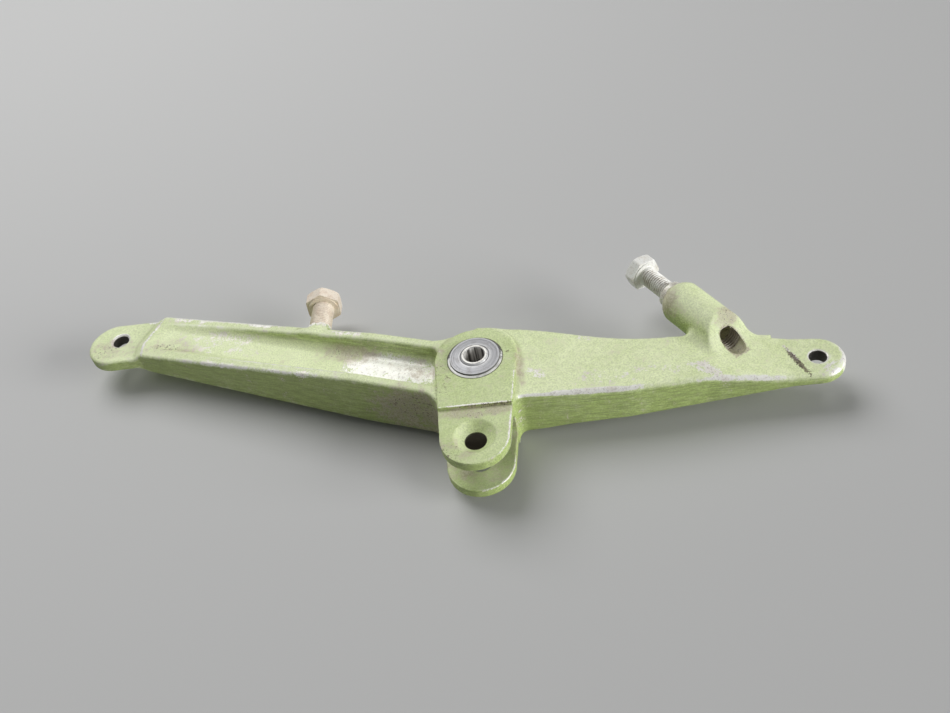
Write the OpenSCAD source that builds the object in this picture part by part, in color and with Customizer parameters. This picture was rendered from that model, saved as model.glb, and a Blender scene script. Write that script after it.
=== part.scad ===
// Aircraft bellcrank: a three-arm forged lever that swings on a pair of ball bearings.
// The origin is on the pivot axis at the forging's mid-plane, Z runs along the pivot,
// the clevis points to -Y and the long channelled arm to -X.

/* [Hub] */
// Radius of the hub round the pivot
hub_r = 16; // [14.5:0.5:20]
// Height of the hub between its two machined faces
hub_h = 25; // [24:0.5:30]
// Chamfer at the mouth of each bearing seat
seat_chamfer = 0.5; // [0.2:0.1:1]
// Width of the shoulder that each bearing is pressed against
seat_shoulder = 1.7; // [1.2:0.1:2]

/* [Clevis] */
// Distance from the pivot to the clevis bolt
clevis_reach = 38; // [36:0.5:44]
// Radius of the round end of the ears
ear_r = 13; // [11:0.5:14]
// Step down from the hub's top face to the upper ear
ear_step = 1.5; // [0.5:0.1:2]
// Thickness of the upper, countersunk ear
upper_ear_t = 4.2; // [4:0.1:6]
// Thickness of the lower ear
lower_ear_t = 3.8; // [3:0.1:5]
// Gap between the ears
clevis_gap = 12; // [10:0.5:13]
// Distance from the pivot to the step and the end of the slot
slot_reach = 24.4; // [22:0.1:25]
// Radius in the inner corners of the slot
slot_corner_r = 4; // [1:0.5:4.5]
// Diameter of the clevis bolt hole
clevis_bore_d = 8.1; // [6.5:0.05:8.5]
// Diameter of the countersink at the top of the upper ear
countersink_d = 16.1; // [13:0.1:16.5]
// Full angle of the countersink
countersink_angle = 100; // [95:5:110]

/* [Left arm] */
// Distance from the pivot to the left lug's hole
left_reach = 167.3; // [160:0.1:180]
// Direction of the left lug's hole, from +X
left_angle = 165.1; // [160:0.5:172]
// Radius of the left lug
left_lug_r = 12.9; // [11:0.1:14]
// Diameter of the left lug's hole
left_bore_d = 6.8; // [5:0.05:8]
// Chamfer round the left lug's hole
left_bore_chamfer = 0.8; // [0.2:0.1:1.2]
// Offset of the front edge from the arm's line, at the pivot
left_front_root = 20.8; // [18:0.1:22]
// Offset of the front edge where the flange ends at the lug
left_front_tip = 9.6; // [8:0.1:11]
// Offset of the rear edge from the arm's line, at the pivot
left_rear_root = 6.8; // [5:0.1:9]
// Offset of the rear edge where the flange ends at the lug
left_rear_tip = 15.3; // [13:0.1:16]
// Distance from the lug's hole to the ridge where the flanges end
left_ridge_gap = 16.1; // [15:0.1:20]
// Slant of the ridge: how far its front end lies beyond its middle
left_ridge_slant = 1; // [0.5:0.1:2]
// Half height of the flanges where they end at the ridge
left_tip_half = 5.2; // [5:0.1:6.5]
// Distance from the pivot at which the flanges reach full height
left_full_reach = 46; // [35:1:60]
// Drop from the hub's face to the full-height flanges
left_root_drop = 0.2; // [0.1:0.1:1]
// Thickness of the flanges, measured across the arm
flange_t = 4; // [3:0.1:5]
// Thickness of the web between the two pockets
web_t = 9; // [7:0.1:9.6]
// Draft of the pockets' walls
pocket_draft = 7; // [3:0.5:9]
// Radius between the pockets' walls and their floor
pocket_floor_r = 3.5; // [1:0.5:4]
// Length of the ramp from a pocket's floor up to the ridge
pocket_ramp = 9; // [5:1:12]
// Width of the ridge between that ramp and the lug
ridge_land = 1; // [0.5:0.1:2]
// Radius between the front flange and the clevis
left_root_fillet = 6; // [2:0.5:6.5]

/* [Right arm] */
// Distance from the pivot to the right lug's hole
right_reach = 128.9; // [125:0.5:140]
// Direction of the right lug's hole, from +X
right_angle = -3.8; // [-8:0.1:0]
// Radius of the right lug
right_lug_r = 10.1; // [9:0.1:10.8]
// Diameter of the right lug's hole
right_bore_d = 6.4; // [5:0.05:8]
// Chamfer round the right lug's hole
right_bore_chamfer = 0.4; // [0.2:0.1:1]
// Half height of the right arm at the pivot
right_root_half = 11.2; // [10:0.1:11.8]
// Half height of the right arm at its shoulder
right_shoulder_half = 7.4; // [6.5:0.1:8.5]
// Distance from the pivot to the shoulder
right_shoulder_reach = 88; // [80:1:92]
// Offset of the front edge from the arm's line, at the pivot
right_front_root = 20.7; // [18:0.1:22]
// Distance from the pivot to the bend in the front edge
right_front_bend_reach = 59; // [50:1:65]
// Offset of the front edge at its bend
right_front_bend = 16.8; // [15.5:0.1:17]
// Offset of the front edge at the shoulder
right_front_shoulder = 12.6; // [11:0.1:13.5]
// Offset of the rear edge beside the hub
right_rear_root = 16; // [14:0.1:16.4]
// Offset of the rear edge along the waist
right_rear_waist = 10; // [9:0.1:11]
// Offset of the rear edge where the stop boss crosses it
right_rear_boss = 12.7; // [12:0.1:13.5]
// Distance from the pivot to the start of the waist
right_waist_reach = 66; // [58:1:70]
// Offset of the rear edge where the lug starts, past a small step
right_rear_lug = 11.1; // [10.9:0.1:11.8]
// Distance from the lug's hole to that step
right_step_gap = 15.5; // [14:0.5:17]
// Radius between the front edge and the clevis
right_root_fillet = 4; // [2:0.5:4]

/* [Lugs] */
// Thickness of both lugs
lug_t = 5.8; // [5:0.1:7]
// Length of the ramp between the left lug and its ridge
lug_ramp = 4; // [2:0.5:5]

/* [Left stop] */
// Distance along the left arm to the end of the stop boss
left_stop_along = 78; // [70:0.1:90]
// Offset of the end of the boss behind the arm's line
left_stop_out = 19.4; // [19:0.1:22]
// Angle between the arm's line and the bolt, towards the lug
left_stop_angle = 75; // [70:1:85]
// Radius of the boss at its end
left_boss_r = 5.4; // [5.3:0.1:6.2]
// Radius to which the boss flares at the flange
left_boss_root_r = 10; // [7:0.1:10.1]
// Length of the plain ring at the end of the boss
left_ring_l = 1; // [0.5:0.1:2]
// Length of the flare and the ring
left_boss_flare = 9; // [7:0.5:10]
// Depth of the tapped hole
left_hole_depth = 11.5; // [11:0.5:12]
// Diameter of the bolt's shank
left_bolt_d = 9.52; // [8:0.01:9.6]
// Width of the bolt's hexagon across its flats
left_bolt_flats = 14.29; // [13:0.01:15]
// Height of the bolt's head
left_head_h = 6; // [5:0.1:7]
// Turn of the head from having a corner on top
left_head_turn = 3; // [0:1:59]
// Length of shank between the boss and the head
left_bolt_show = 13.2; // [10:0.1:15]
// Length of shank in the hole
left_bolt_grip = 9.5; // [8:0.5:10]

/* [Right stop] */
// Distance along the right arm to the end of the stop boss
right_stop_along = 76.6; // [74:0.1:78]
// Offset of the end of the boss behind the arm's line
right_stop_out = 35.5; // [34:0.5:40]
// Height of the bolt's axis over the mid-plane
right_stop_z = 7; // [6.5:0.1:7.6]
// Angle between the arm's line and the bolt, away from the lug
right_stop_angle = 126.8; // [122:0.5:130]
// Radius of the boss
right_boss_r = 8.8; // [7.5:0.1:9.2]
// Radius of the ring at the end of the boss
right_ring_r = 5.2; // [4.8:0.1:6]
// Length of the ring
right_ring_l = 1.4; // [0.5:0.1:2]
// Length of the rounded nose between the ring and the boss
right_nose_l = 5.5; // [4:0.5:8]
// Length of the tapped hole, which runs out into the arm's top
right_hole_depth = 42.5; // [41:0.5:44]
// Distance from the boss's end to the sloping face where the hole comes out over the arm
right_portal_depth = 34.6; // [33:0.1:36]
// Lean of that face from upright
right_portal_lean = 38; // [30:1:42]
// Radius between the boss and the arm's rear edge
right_boss_fillet = 5; // [3:0.5:6]
// Depth of the gusset in that corner below the bolt's axis
right_web_drop = 7; // [5:0.5:8]
// Diameter of the bolt's shank
right_bolt_d = 7.94; // [6.5:0.01:8]
// Width of the bolt's hexagon across its flats
right_bolt_flats = 12.7; // [11:0.1:14]
// Height of the bolt's head
right_head_h = 5.2; // [4.5:0.1:6]
// Turn of the head from having a corner on top
right_head_turn = 40; // [0:1:59]
// Length of shank between the boss and the head
right_bolt_show = 15; // [12:0.5:18]
// Length of shank in the hole
right_bolt_grip = 20; // [19:0.5:24]

/* [Stop bolts] */
// Radial clearance of a bolt in its hole
bolt_clear = 0.05; // [0.03:0.01:0.1]
// Height of the washer face under a head
washer_face_h = 0.4; // [0.2:0.1:0.6]
// Chamfer at the tip of a shank
bolt_tip_chamfer = 0.8; // [0.4:0.1:1]
// Slope of the corner chamfer on a head
head_chamfer_angle = 30; // [20:1:35]
// Round faces of a head as a share of its width across the flats
head_face_share = 0.94; // [0.85:0.01:0.97]

/* [Bearings] */
// Bore of the inner rings and the spacer
pivot_bore_d = 7.94; // [6:0.01:8]
// Outside diameter of the outer rings
bearing_od = 20.64; // [20.2:0.01:21]
// Width of the outer rings
outer_ring_w = 5.94; // [5.6:0.01:6.4]
// Width of the inner rings
inner_ring_w = 7.54; // [7.2:0.01:8]
// How far each outer ring stands out of the hub
bearing_proud = 1.2; // [0.5:0.1:1.5]
// Diameter of the balls
ball_d = 3.175; // [3:0.005:3.175]
// Number of balls in each bearing
ball_count = 14; // [10:1:14]
// Radius of the circle of ball centres
ball_circle_r = 7.25; // [7.25:0.01:7.3]
// Gap between a ball and its groove
ball_clear = 0.05; // [0.03:0.01:0.08]
// Radius of the inner ring beside its groove
inner_land_r = 6.1; // [5.9:0.05:6.3]
// Radius of the outer ring's opening beside its groove
outer_land_r = 8.4; // [8.2:0.05:8.5]
// Radius of the recess that holds a shield
shield_r = 9; // [8.8:0.05:9.2]
// Thickness of a shield
shield_t = 0.5; // [0.3:0.05:0.6]
// Depth of a shield below the outer ring's face
shield_set = 0.2; // [0.1:0.05:0.3]
// Running gap between a shield and the inner ring
shield_gap = 0.3; // [0.2:0.05:0.5]
// Chamfer on the rings' corners
ring_chamfer = 0.4; // [0.2:0.05:0.5]
// Radius of the spacer between the inner rings
spacer_r = 5.6; // [5:0.1:5.8]

/* [Hidden] */
$fn = 64;
arc_steps = 8;
curve_steps = 12;
// Overlap that lets a cut run past the face it opens
past = 1;
// Reach of the cutters that clear everything on one side
far = 200;
// Depth by which one form sinks into another that it blends with
sunk = 0.3;
// Depth by which a fillet runs on under the floor that it levels off to
under = 0.05;

primer = [0.70, 0.75, 0.48];
steel = [0.66, 0.67, 0.69];
bare_steel = [0.78, 0.79, 0.80];
cadmium = [0.82, 0.79, 0.70];
tan_bolt = [0.77, 0.68, 0.58];

hub_top = hub_h / 2;
upper_ear_top = hub_top - ear_step;
upper_ear_low = upper_ear_top - upper_ear_t;
lower_ear_top = upper_ear_low - clevis_gap;
lower_ear_low = lower_ear_top - lower_ear_t;
bearing_z = hub_top + bearing_proud - outer_ring_w / 2;
seat_z = bearing_z - outer_ring_w / 2;
spacer_half = bearing_z - inner_ring_w / 2;
lug_half = lug_t / 2;
web_half = web_t / 2;
left_full_half = hub_top - left_root_drop;
left_ridge = left_reach - left_ridge_gap;
right_step = right_reach - right_step_gap;

// Plane geometry
function unit(v) = v / norm(v);
function heading(v) = atan2(v.y, v.x);
function polar(r, a) = r * [cos(a), sin(a)];
function turned(p, a) = [p.x * cos(a) - p.y * sin(a), p.x * sin(a) + p.y * cos(a)];
function height_at(p, q, x) = p.y + (q.y - p.y) * (x - p.x) / (q.x - p.x);
// Point where the line through a and b crosses the line through c and d
function meet(a, b, c, d) = a + (b - a) * cross(c - a, d - c) / cross(b - a, d - c);
// Point where a line from p touches a circle, on the side named by +1 or -1
function tangent(p, centre, r, side) =
    centre + polar(r, heading(p - centre) + side * acos(r / norm(p - centre)));
function half_turn(a) = a > 180 ? a - 360 : a < -180 ? a + 360 : a;
// Arc of radius r that rounds the corner c between the points a and b
function corner_arc(a, c, b, r) =
    let (u = unit(a - c), v = unit(b - c), half = acos(u * v) / 2)
    let (centre = c + unit(u + v) * r / sin(half))
    let (from = heading(c + u * r / tan(half) - centre))
    let (sweep = half_turn(heading(c + v * r / tan(half) - centre) - from))
    [for (i = [0 : arc_steps]) centre + polar(r, from + sweep * i / arc_steps)];
// Fall from y0 to y1 along half a cosine wave
function cosine_fall(x0, y0, x1, y1) =
    [for (i = [0 : curve_steps]) let (k = i / curve_steps)
        [x0 + (x1 - x0) * k, y1 + (y0 - y1) * (1 + cos(180 * k)) / 2]];
// Quarter of an ellipse that rises from [x0, y0] and levels off at [x1, y1]
function levelling_off(x0, y0, x1, y1) =
    [for (i = [0 : arc_steps]) let (a = 90 * i / arc_steps)
        [x0 + (x1 - x0) * (1 - cos(a)), y0 + (y1 - y0) * sin(a)]];
function mirrored(points) =
    concat(points, [for (i = [len(points) - 1 : -1 : 0]) [points[i].x, -points[i].y]]);

// Edges of the arms, each in its own arm's frame with x along the arm's line
left_front = [[0, left_front_root], [left_ridge + left_ridge_slant, left_front_tip]];
left_rear = [[0, -left_rear_root], [left_ridge - left_ridge_slant, -left_rear_tip]];
left_lug = [left_reach, 0];
right_front = [
    [0, -right_front_root],
    [right_front_bend_reach, -right_front_bend],
    [right_shoulder_reach, -right_front_shoulder]
];
right_waist = [[right_waist_reach, right_rear_waist], [right_step, right_rear_boss]];
right_rear = cosine_fall(hub_r / 2, right_rear_root, right_waist_reach, right_rear_waist);
right_lug = [right_reach, 0];
right_lug_start = [right_step, right_rear_lug];

// Tangent line down each side of the hub and clevis, on the side named by +1 or -1
side_angle = acos((hub_r - ear_r) / clevis_reach);
function hub_side(side) = polar(hub_r, -90 + side * side_angle);
function ear_side(side) = [0, -clevis_reach] + polar(ear_r, -90 + side * side_angle);

// Frames of the stop bolts: the origin is at the boss's end and x points out of the boss
module at_left_stop()
    rotate([0, 0, left_angle]) translate([left_stop_along, -left_stop_out, 0])
        rotate([0, 0, -left_stop_angle]) children();
module at_right_stop()
    rotate([0, 0, right_angle]) translate([right_stop_along, right_stop_out, right_stop_z])
        rotate([0, 0, right_stop_angle]) children();
// Turns a profile of [distance, radius] points about the x axis
module turned_along_x(profile)
    rotate([90, 0, 90]) rotate_extrude() polygon([for (p = profile) [p.y, p.x]]);
module above_and_below() {
    children();
    mirror([0, 0, 1]) children();
}
// Prism with a plan outline, cut to a side profile
module arm_blank(profile) {
    intersection() {
        linear_extrude(height = 2 * hub_h, center = true) children();
        rotate([90, 0, 0]) linear_extrude(height = far, center = true) polygon(mirrored(profile));
    }
}
// Fillet of radius r in the corner c, sunk into the forms on both sides
module root_fillet(a, c, b, r) {
    inside = c - unit(unit(a - c) + unit(b - c)) * r / 2;
    polygon(concat([inside], corner_arc(a, c, b, r)));
}
// Fillet in plan between an arm's front edge and the side of the clevis
module front_fillet(edge, angle, side, r) {
    near = turned(edge[0], angle);
    tip = turned(edge[1], angle);
    corner = meet(near, tip, hub_side(side), ear_side(side));
    rotate(-angle) root_fillet(tip, corner, ear_side(side), r);
}

// Hub and clevis
module hub_plan() {
    circle(r = hub_r);
    translate([0, -clevis_reach]) circle(r = ear_r);
    polygon([hub_side(1), ear_side(1), ear_side(-1), hub_side(-1)]);
}
module hub_and_ears() {
    difference() {
        linear_extrude(height = hub_h, center = true) hub_plan();
        translate([-far / 2, -slot_reach - far, upper_ear_top]) cube(far);
        translate([-far / 2, -slot_reach - far, lower_ear_low - far]) cube(far);
    }
}
// Side view of the slot between the ears, with rounded inner corners
module slot_profile() {
    low = lower_ear_top;
    high = upper_ear_low;
    inner = slot_reach + slot_corner_r;
    for (z = [low + slot_corner_r, high - slot_corner_r]) translate([inner, z]) circle(slot_corner_r);
    translate([slot_reach, low + slot_corner_r]) square([far, high - low - 2 * slot_corner_r]);
    translate([inner, low]) square([far, high - low]);
}
module clevis_cuts() {
    rotate([90, 0, -90]) linear_extrude(height = far, center = true) slot_profile();
    translate([0, -clevis_reach, 0]) {
        cylinder(d = clevis_bore_d, h = far, center = true);
        translate([0, 0, upper_ear_top]) countersink();
    }
}
module countersink() {
    depth = (countersink_d - clevis_bore_d) / 2 / tan(countersink_angle / 2);
    translate([0, 0, -depth]) cylinder(d1 = clevis_bore_d, d2 = countersink_d, h = depth);
    cylinder(d = countersink_d, h = past);
}
module bearing_seats() {
    cylinder(r = bearing_od / 2 - seat_shoulder, h = far, center = true);
    above_and_below() {
        translate([0, 0, seat_z]) cylinder(d = bearing_od, h = far);
        translate([0, 0, hub_top - seat_chamfer])
            cylinder(r1 = bearing_od / 2, r2 = bearing_od / 2 + seat_chamfer + past, h = seat_chamfer + past);
    }
}

// Left arm
module left_plan() {
    polygon([
        left_front[0], left_front[1], tangent(left_front[1], left_lug, left_lug_r, -1), left_lug,
        tangent(left_rear[1], left_lug, left_lug_r, 1), left_rear[1], left_rear[0]
    ]);
    translate(left_lug) circle(r = left_lug_r);
    front_fillet(left_front, left_angle, -1, left_root_fillet);
}
// Side of a pocket along one edge of the arm: a wall with draft, a fillet, then clear below the floor
module pocket_side(edge, side) {
    low = web_half - under;
    foot = [flange_t + (hub_top - low) * tan(pocket_draft), low];
    wall = foot + polar(hub_h, 90 + pocket_draft);
    arc = corner_arc(foot + [hub_h, 0], foot, wall, pocket_floor_r);
    section = concat([[arc[0].x, -hub_h]], arc, [wall, [far, wall.y], [far, -hub_h]]);
    translate(edge[0]) rotate(heading(edge[1] - edge[0])) rotate([90, 0, 90])
        linear_extrude(height = far) polygon([for (p = section) [side * p.x, p.y]]);
}
module left_pocket() {
    inner = hub_r / 2;
    foot = [left_ridge - pocket_ramp, web_half];
    crest = [left_ridge - ridge_land, left_tip_half];
    beyond = crest + (crest - foot);
    intersection() {
        pocket_side(left_front, -1);
        pocket_side(left_rear, 1);
        rotate([90, 0, 0]) linear_extrude(height = far, center = true)
            polygon([[inner, web_half], foot, beyond, [beyond.x, hub_h], [inner, hub_h]]);
    }
}
module left_arm() {
    profile = [
        [0, left_full_half], [left_full_reach, left_full_half], [left_ridge, left_tip_half],
        [left_ridge + lug_ramp, lug_half], [left_reach + left_lug_r + past, lug_half]
    ];
    difference() {
        union() {
            rotate([0, 0, left_angle]) arm_blank(profile) left_plan();
            left_boss();
        }
        rotate([0, 0, left_angle]) above_and_below() left_pocket();
    }
}

// Right arm
module right_plan() {
    polygon(concat(
        right_front,
        [tangent(right_front[2], right_lug, right_lug_r, 1), right_lug],
        [tangent(right_lug_start, right_lug, right_lug_r, -1), right_lug_start, right_waist[1]],
        [for (i = [curve_steps : -1 : 0]) right_rear[i]],
        [[0, right_rear_root]]
    ));
    translate(right_lug) circle(r = right_lug_r);
    front_fillet(right_front, right_angle, 1, right_root_fillet);
}
module right_arm() {
    lug_start = right_reach - right_lug_r;
    profile = [
        [0, right_root_half], [right_shoulder_reach, right_shoulder_half],
        [lug_start, lug_half], [right_reach + right_lug_r + past, lug_half]
    ];
    rotate([0, 0, right_angle]) arm_blank(profile) right_plan();
}

// Bore through a lug, with a chamfer at both faces
module lug_bore(d, chamfer) {
    cylinder(d = d, h = far, center = true);
    above_and_below() translate([0, 0, lug_half - chamfer])
        cylinder(r1 = d / 2, r2 = d / 2 + chamfer + past, h = chamfer + past);
}

// Stop bosses
module left_boss() {
    root = -left_boss_flare - flange_t;
    flare = levelling_off(-left_boss_flare, left_boss_root_r, -left_ring_l, left_boss_r);
    at_left_stop() turned_along_x(concat(
        [[root, 0], [root, left_boss_root_r]], flare, [[0, left_boss_r], [0, 0]]
    ));
}
module left_stop_hole()
    at_left_stop() translate([-left_hole_depth, 0, 0]) rotate([0, 90, 0])
        cylinder(r = left_bolt_d / 2 + bolt_clear, h = far);
module right_boss() {
    nose = levelling_off(0, right_ring_r, right_nose_l, right_boss_r);
    inner = -right_portal_depth - right_boss_r;
    profile = concat(
        [[0, 0], [0, right_ring_r]],
        [for (p = nose) [-right_ring_l - p.x, p.y]],
        [[inner, right_boss_r], [inner, 0]]
    );
    at_right_stop() difference() {
        turned_along_x(profile);
        translate([-right_portal_depth, 0, 0]) rotate([0, right_portal_lean, 0])
            translate([-far, -far / 2, -far / 2]) cube(far);
    }
}
// Gusset that fills the corner between the boss and the arm's rear edge
module right_boss_web() {
    top = height_at([0, right_root_half], [right_shoulder_reach, right_shoulder_half], right_stop_along);
    low = right_stop_z - right_web_drop;
    boss_end = [right_stop_along, right_stop_out];
    boss_side = boss_end + polar(right_boss_r - sunk, right_stop_angle + 90);
    boss_line = boss_side + polar(right_boss_r, right_stop_angle);
    corner = meet(right_waist[0], right_waist[1], boss_side, boss_line);
    arc = corner_arc(right_waist[0], corner, boss_side, right_boss_fillet);
    to_axis = boss_end - boss_side;
    rotate([0, 0, right_angle]) translate([0, 0, low]) linear_extrude(height = top - low)
        polygon(concat(arc, [arc[arc_steps] + to_axis, corner + to_axis, corner - [0, right_boss_fillet]]));
}
module right_stop_hole()
    at_right_stop() turned_along_x([
        [-right_hole_depth, 0],
        [-right_hole_depth + right_bolt_d / 2, right_bolt_d / 2 + bolt_clear],
        [far, right_bolt_d / 2 + bolt_clear], [far, 0]
    ]);

// The forging, one piece with its machined bores
module crank_body() color(primer) difference() {
    union() {
        hub_and_ears();
        left_arm();
        right_arm();
        right_boss();
        right_boss_web();
    }
    clevis_cuts();
    bearing_seats();
    rotate([0, 0, left_angle]) translate([left_reach, 0, 0]) lug_bore(left_bore_d, left_bore_chamfer);
    rotate([0, 0, right_angle]) translate([right_reach, 0, 0]) lug_bore(right_bore_d, right_bore_chamfer);
    left_stop_hole();
    right_stop_hole();
}

// Bearings: each ring is turned from its section, with the groove concentric with the balls
module ring_section(r_in, r_out, w, chamfer) {
    half = w / 2;
    polygon([
        [r_in + chamfer, -half], [r_out - chamfer, -half], [r_out, -half + chamfer], [r_out, half - chamfer],
        [r_out - chamfer, half], [r_in + chamfer, half], [r_in, half - chamfer], [r_in, -half + chamfer]
    ]);
}
module ball_groove() translate([ball_circle_r, 0]) circle(r = ball_d / 2 + ball_clear);
module outer_ring() {
    seat = outer_ring_w / 2 - shield_set - shield_t;
    rotate_extrude() difference() {
        ring_section(outer_land_r - ring_chamfer, bearing_od / 2, outer_ring_w, ring_chamfer);
        translate([0, -outer_ring_w]) square([outer_land_r, 2 * outer_ring_w]);
        for (side = [0, 1]) mirror([0, side]) translate([0, seat]) square([shield_r, outer_ring_w]);
        ball_groove();
    }
}
module inner_ring() {
    rotate_extrude() difference() {
        ring_section(pivot_bore_d / 2, inner_land_r, inner_ring_w, ring_chamfer);
        ball_groove();
    }
}
module ball_set() {
    for (i = [0 : ball_count - 1]) rotate([0, 0, 360 * i / ball_count])
        translate([ball_circle_r, 0, 0]) sphere(d = ball_d);
}
module shield() {
    translate([0, 0, outer_ring_w / 2 - shield_set - shield_t]) difference() {
        cylinder(r = shield_r, h = shield_t);
        translate([0, 0, -past]) cylinder(r = inner_land_r + shield_gap, h = shield_t + 2 * past);
    }
}
module at_bearing(side) translate([0, 0, side * bearing_z]) children();

module upper_bearing_outer_ring() color(steel) at_bearing(1) outer_ring();
module upper_bearing_inner_ring() color(bare_steel) at_bearing(1) inner_ring();
module upper_bearing_balls() color(bare_steel) at_bearing(1) ball_set();
module upper_bearing_top_shield() color(steel) at_bearing(1) shield();
module upper_bearing_bottom_shield() color(steel) at_bearing(1) mirror([0, 0, 1]) shield();
module lower_bearing_outer_ring() color(steel) at_bearing(-1) outer_ring();
module lower_bearing_inner_ring() color(bare_steel) at_bearing(-1) inner_ring();
module lower_bearing_balls() color(bare_steel) at_bearing(-1) ball_set();
module lower_bearing_top_shield() color(steel) at_bearing(-1) shield();
module lower_bearing_bottom_shield() color(steel) at_bearing(-1) mirror([0, 0, 1]) shield();
module bearing_spacer() color(steel) difference() {
    cylinder(r = spacer_r, h = 2 * spacer_half, center = true);
    cylinder(d = pivot_bore_d, h = far, center = true);
}

// Hexagon-headed bolt along x, with its shank from -grip to show and its head beyond
module hex_bolt(d, flats, head_h, head_turn, show, grip) {
    corner_r = flats / 2 / cos(30);
    face_r = flats / 2 * head_face_share;
    chamfer_r = corner_r + past;
    chamfer_h = (chamfer_r - face_r) * tan(head_chamfer_angle);
    top = show + head_h;
    turned_along_x([
        [-grip, 0], [-grip, d / 2 - bolt_tip_chamfer], [-grip + bolt_tip_chamfer, d / 2],
        [show, d / 2], [show, face_r], [show + washer_face_h + sunk, face_r], [show + washer_face_h + sunk, 0]
    ]);
    intersection() {
        translate([show + washer_face_h, 0, 0]) rotate([0, 90, 0]) rotate(head_turn)
            cylinder(r = corner_r, h = head_h - washer_face_h, $fn = 6);
        turned_along_x([[show, 0], [show, chamfer_r], [top - chamfer_h, chamfer_r], [top, face_r], [top, 0]]);
    }
}
module left_stop_bolt() color(tan_bolt) at_left_stop()
    hex_bolt(left_bolt_d, left_bolt_flats, left_head_h, left_head_turn, left_bolt_show, left_bolt_grip);
module right_stop_bolt() color(cadmium) at_right_stop()
    hex_bolt(right_bolt_d, right_bolt_flats, right_head_h, right_head_turn, right_bolt_show, right_bolt_grip);

crank_body();
upper_bearing_outer_ring();
upper_bearing_inner_ring();
upper_bearing_balls();
upper_bearing_top_shield();
upper_bearing_bottom_shield();
lower_bearing_outer_ring();
lower_bearing_inner_ring();
lower_bearing_balls();
lower_bearing_top_shield();
lower_bearing_bottom_shield();
bearing_spacer();
left_stop_bolt();
right_stop_bolt();
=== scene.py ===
# %% [markdown]
# A primed aircraft bellcrank: one forging on two ball bearings, with a stop bolt screwed into each arm.
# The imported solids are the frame. Everything made here is laid over them in the same place, in metres,
# and the shapes are worked out in millimetres first because that is how the part was measured.

# %% Load the frame
import bpy
import numpy as np
from mathutils import Matrix


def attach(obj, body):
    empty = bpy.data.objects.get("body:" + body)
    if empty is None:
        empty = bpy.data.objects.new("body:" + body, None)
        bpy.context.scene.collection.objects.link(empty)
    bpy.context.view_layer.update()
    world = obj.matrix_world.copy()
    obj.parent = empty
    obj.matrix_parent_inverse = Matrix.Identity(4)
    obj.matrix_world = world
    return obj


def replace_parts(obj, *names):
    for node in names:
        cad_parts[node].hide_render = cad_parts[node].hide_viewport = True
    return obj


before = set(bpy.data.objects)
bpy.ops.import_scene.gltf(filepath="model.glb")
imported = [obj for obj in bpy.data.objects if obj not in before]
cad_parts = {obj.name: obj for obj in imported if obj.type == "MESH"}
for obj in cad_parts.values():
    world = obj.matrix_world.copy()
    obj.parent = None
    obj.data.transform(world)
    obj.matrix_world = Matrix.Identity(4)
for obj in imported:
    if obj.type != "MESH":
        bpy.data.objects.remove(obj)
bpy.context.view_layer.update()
MM = 0.001

# %% [markdown]
# The camera comes first. A photograph's view can be guessed by eye or solved: here the ellipses of the
# bearing and the bolt holes gave the lens and the place, so the three axes of the picture are written
# below as they came out.

# %% Camera
LENS = 37.97
SENSOR_WIDTH = 36.0
NEAREST_SEEN = 0.01
CAMERA_PLACE = np.array((46.980, -272.127, 287.622)) * MM
PICTURE_RIGHT = np.array((0.98736, 0.01042, -0.15816))
PICTURE_DOWN = np.array((-0.10321, -0.71506, -0.69141))
VIEW_FORWARD = np.array((-0.12030, 0.69899, -0.70494))


def placed(x_axis, y_axis, z_axis, place):
    """Matrix of an object: its three axes and its place are the four columns."""
    matrix = np.eye(4)
    matrix[:3] = np.stack([x_axis, y_axis, z_axis, place], axis=1)
    return Matrix(matrix.tolist())


def solved_camera():
    """Camera whose picture has x to the right and y down; it looks along minus its own Z."""
    data = bpy.data.cameras.new("view")
    data.sensor_width = SENSOR_WIDTH
    data.sensor_fit = "HORIZONTAL"
    data.lens = LENS
    data.clip_start = NEAREST_SEEN
    camera = bpy.data.objects.new("view", data)
    camera.matrix_world = placed(PICTURE_RIGHT, -PICTURE_DOWN, -VIEW_FORWARD, CAMERA_PLACE)
    bpy.context.scene.collection.objects.link(camera)
    bpy.context.scene.camera = camera
    return camera


camera = solved_camera()
print("camera at", [round(v, 3) for v in camera.matrix_world.translation])

# %% [markdown]
# Distance fields. A forging has no single grid of its own: arms, hub and bosses run into each other
# through fillets. So the forging is written as a function that gives the distance from any point to the
# surface, negative inside, and the fillets come from rounding the places where two such functions meet.

# %% Rounded joins of distances
def join(a, b, r):
    """Union with a fillet: where both distances are under r, a circle of radius r lies between them."""
    return np.maximum(r, np.minimum(a, b)) - np.hypot(np.maximum(r - a, 0), np.maximum(r - b, 0))


def meet(a, b, r):
    """Intersection with a rounded edge of radius r, the join turned inside out."""
    return np.minimum(-r, np.maximum(a, b)) + np.hypot(np.maximum(a + r, 0), np.maximum(b + r, 0))


def cut(a, b, r):
    """The solid a without the solid b, with its new edges rounded to r."""
    return meet(a, -b, r)


box_corner = float(meet(np.array(0.0), np.array(0.0), 1.0))
print("an edge rounded to 1 mm loses", round(box_corner, 3), "mm at its corner")

# %% [markdown]
# Plans and profiles. A die maker draws such a lever as an outline from above and as heights along each
# arm. The helpers below read both: one gives the distance to a closed outline, one finds where a straight
# side touches a round end, one turns coordinates into an arm's own direction, and two change a value
# smoothly.

# %% Outlines and smooth changes
NEARLY_LEVEL = 1e-9
EASE_STEP = 0.1


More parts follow.
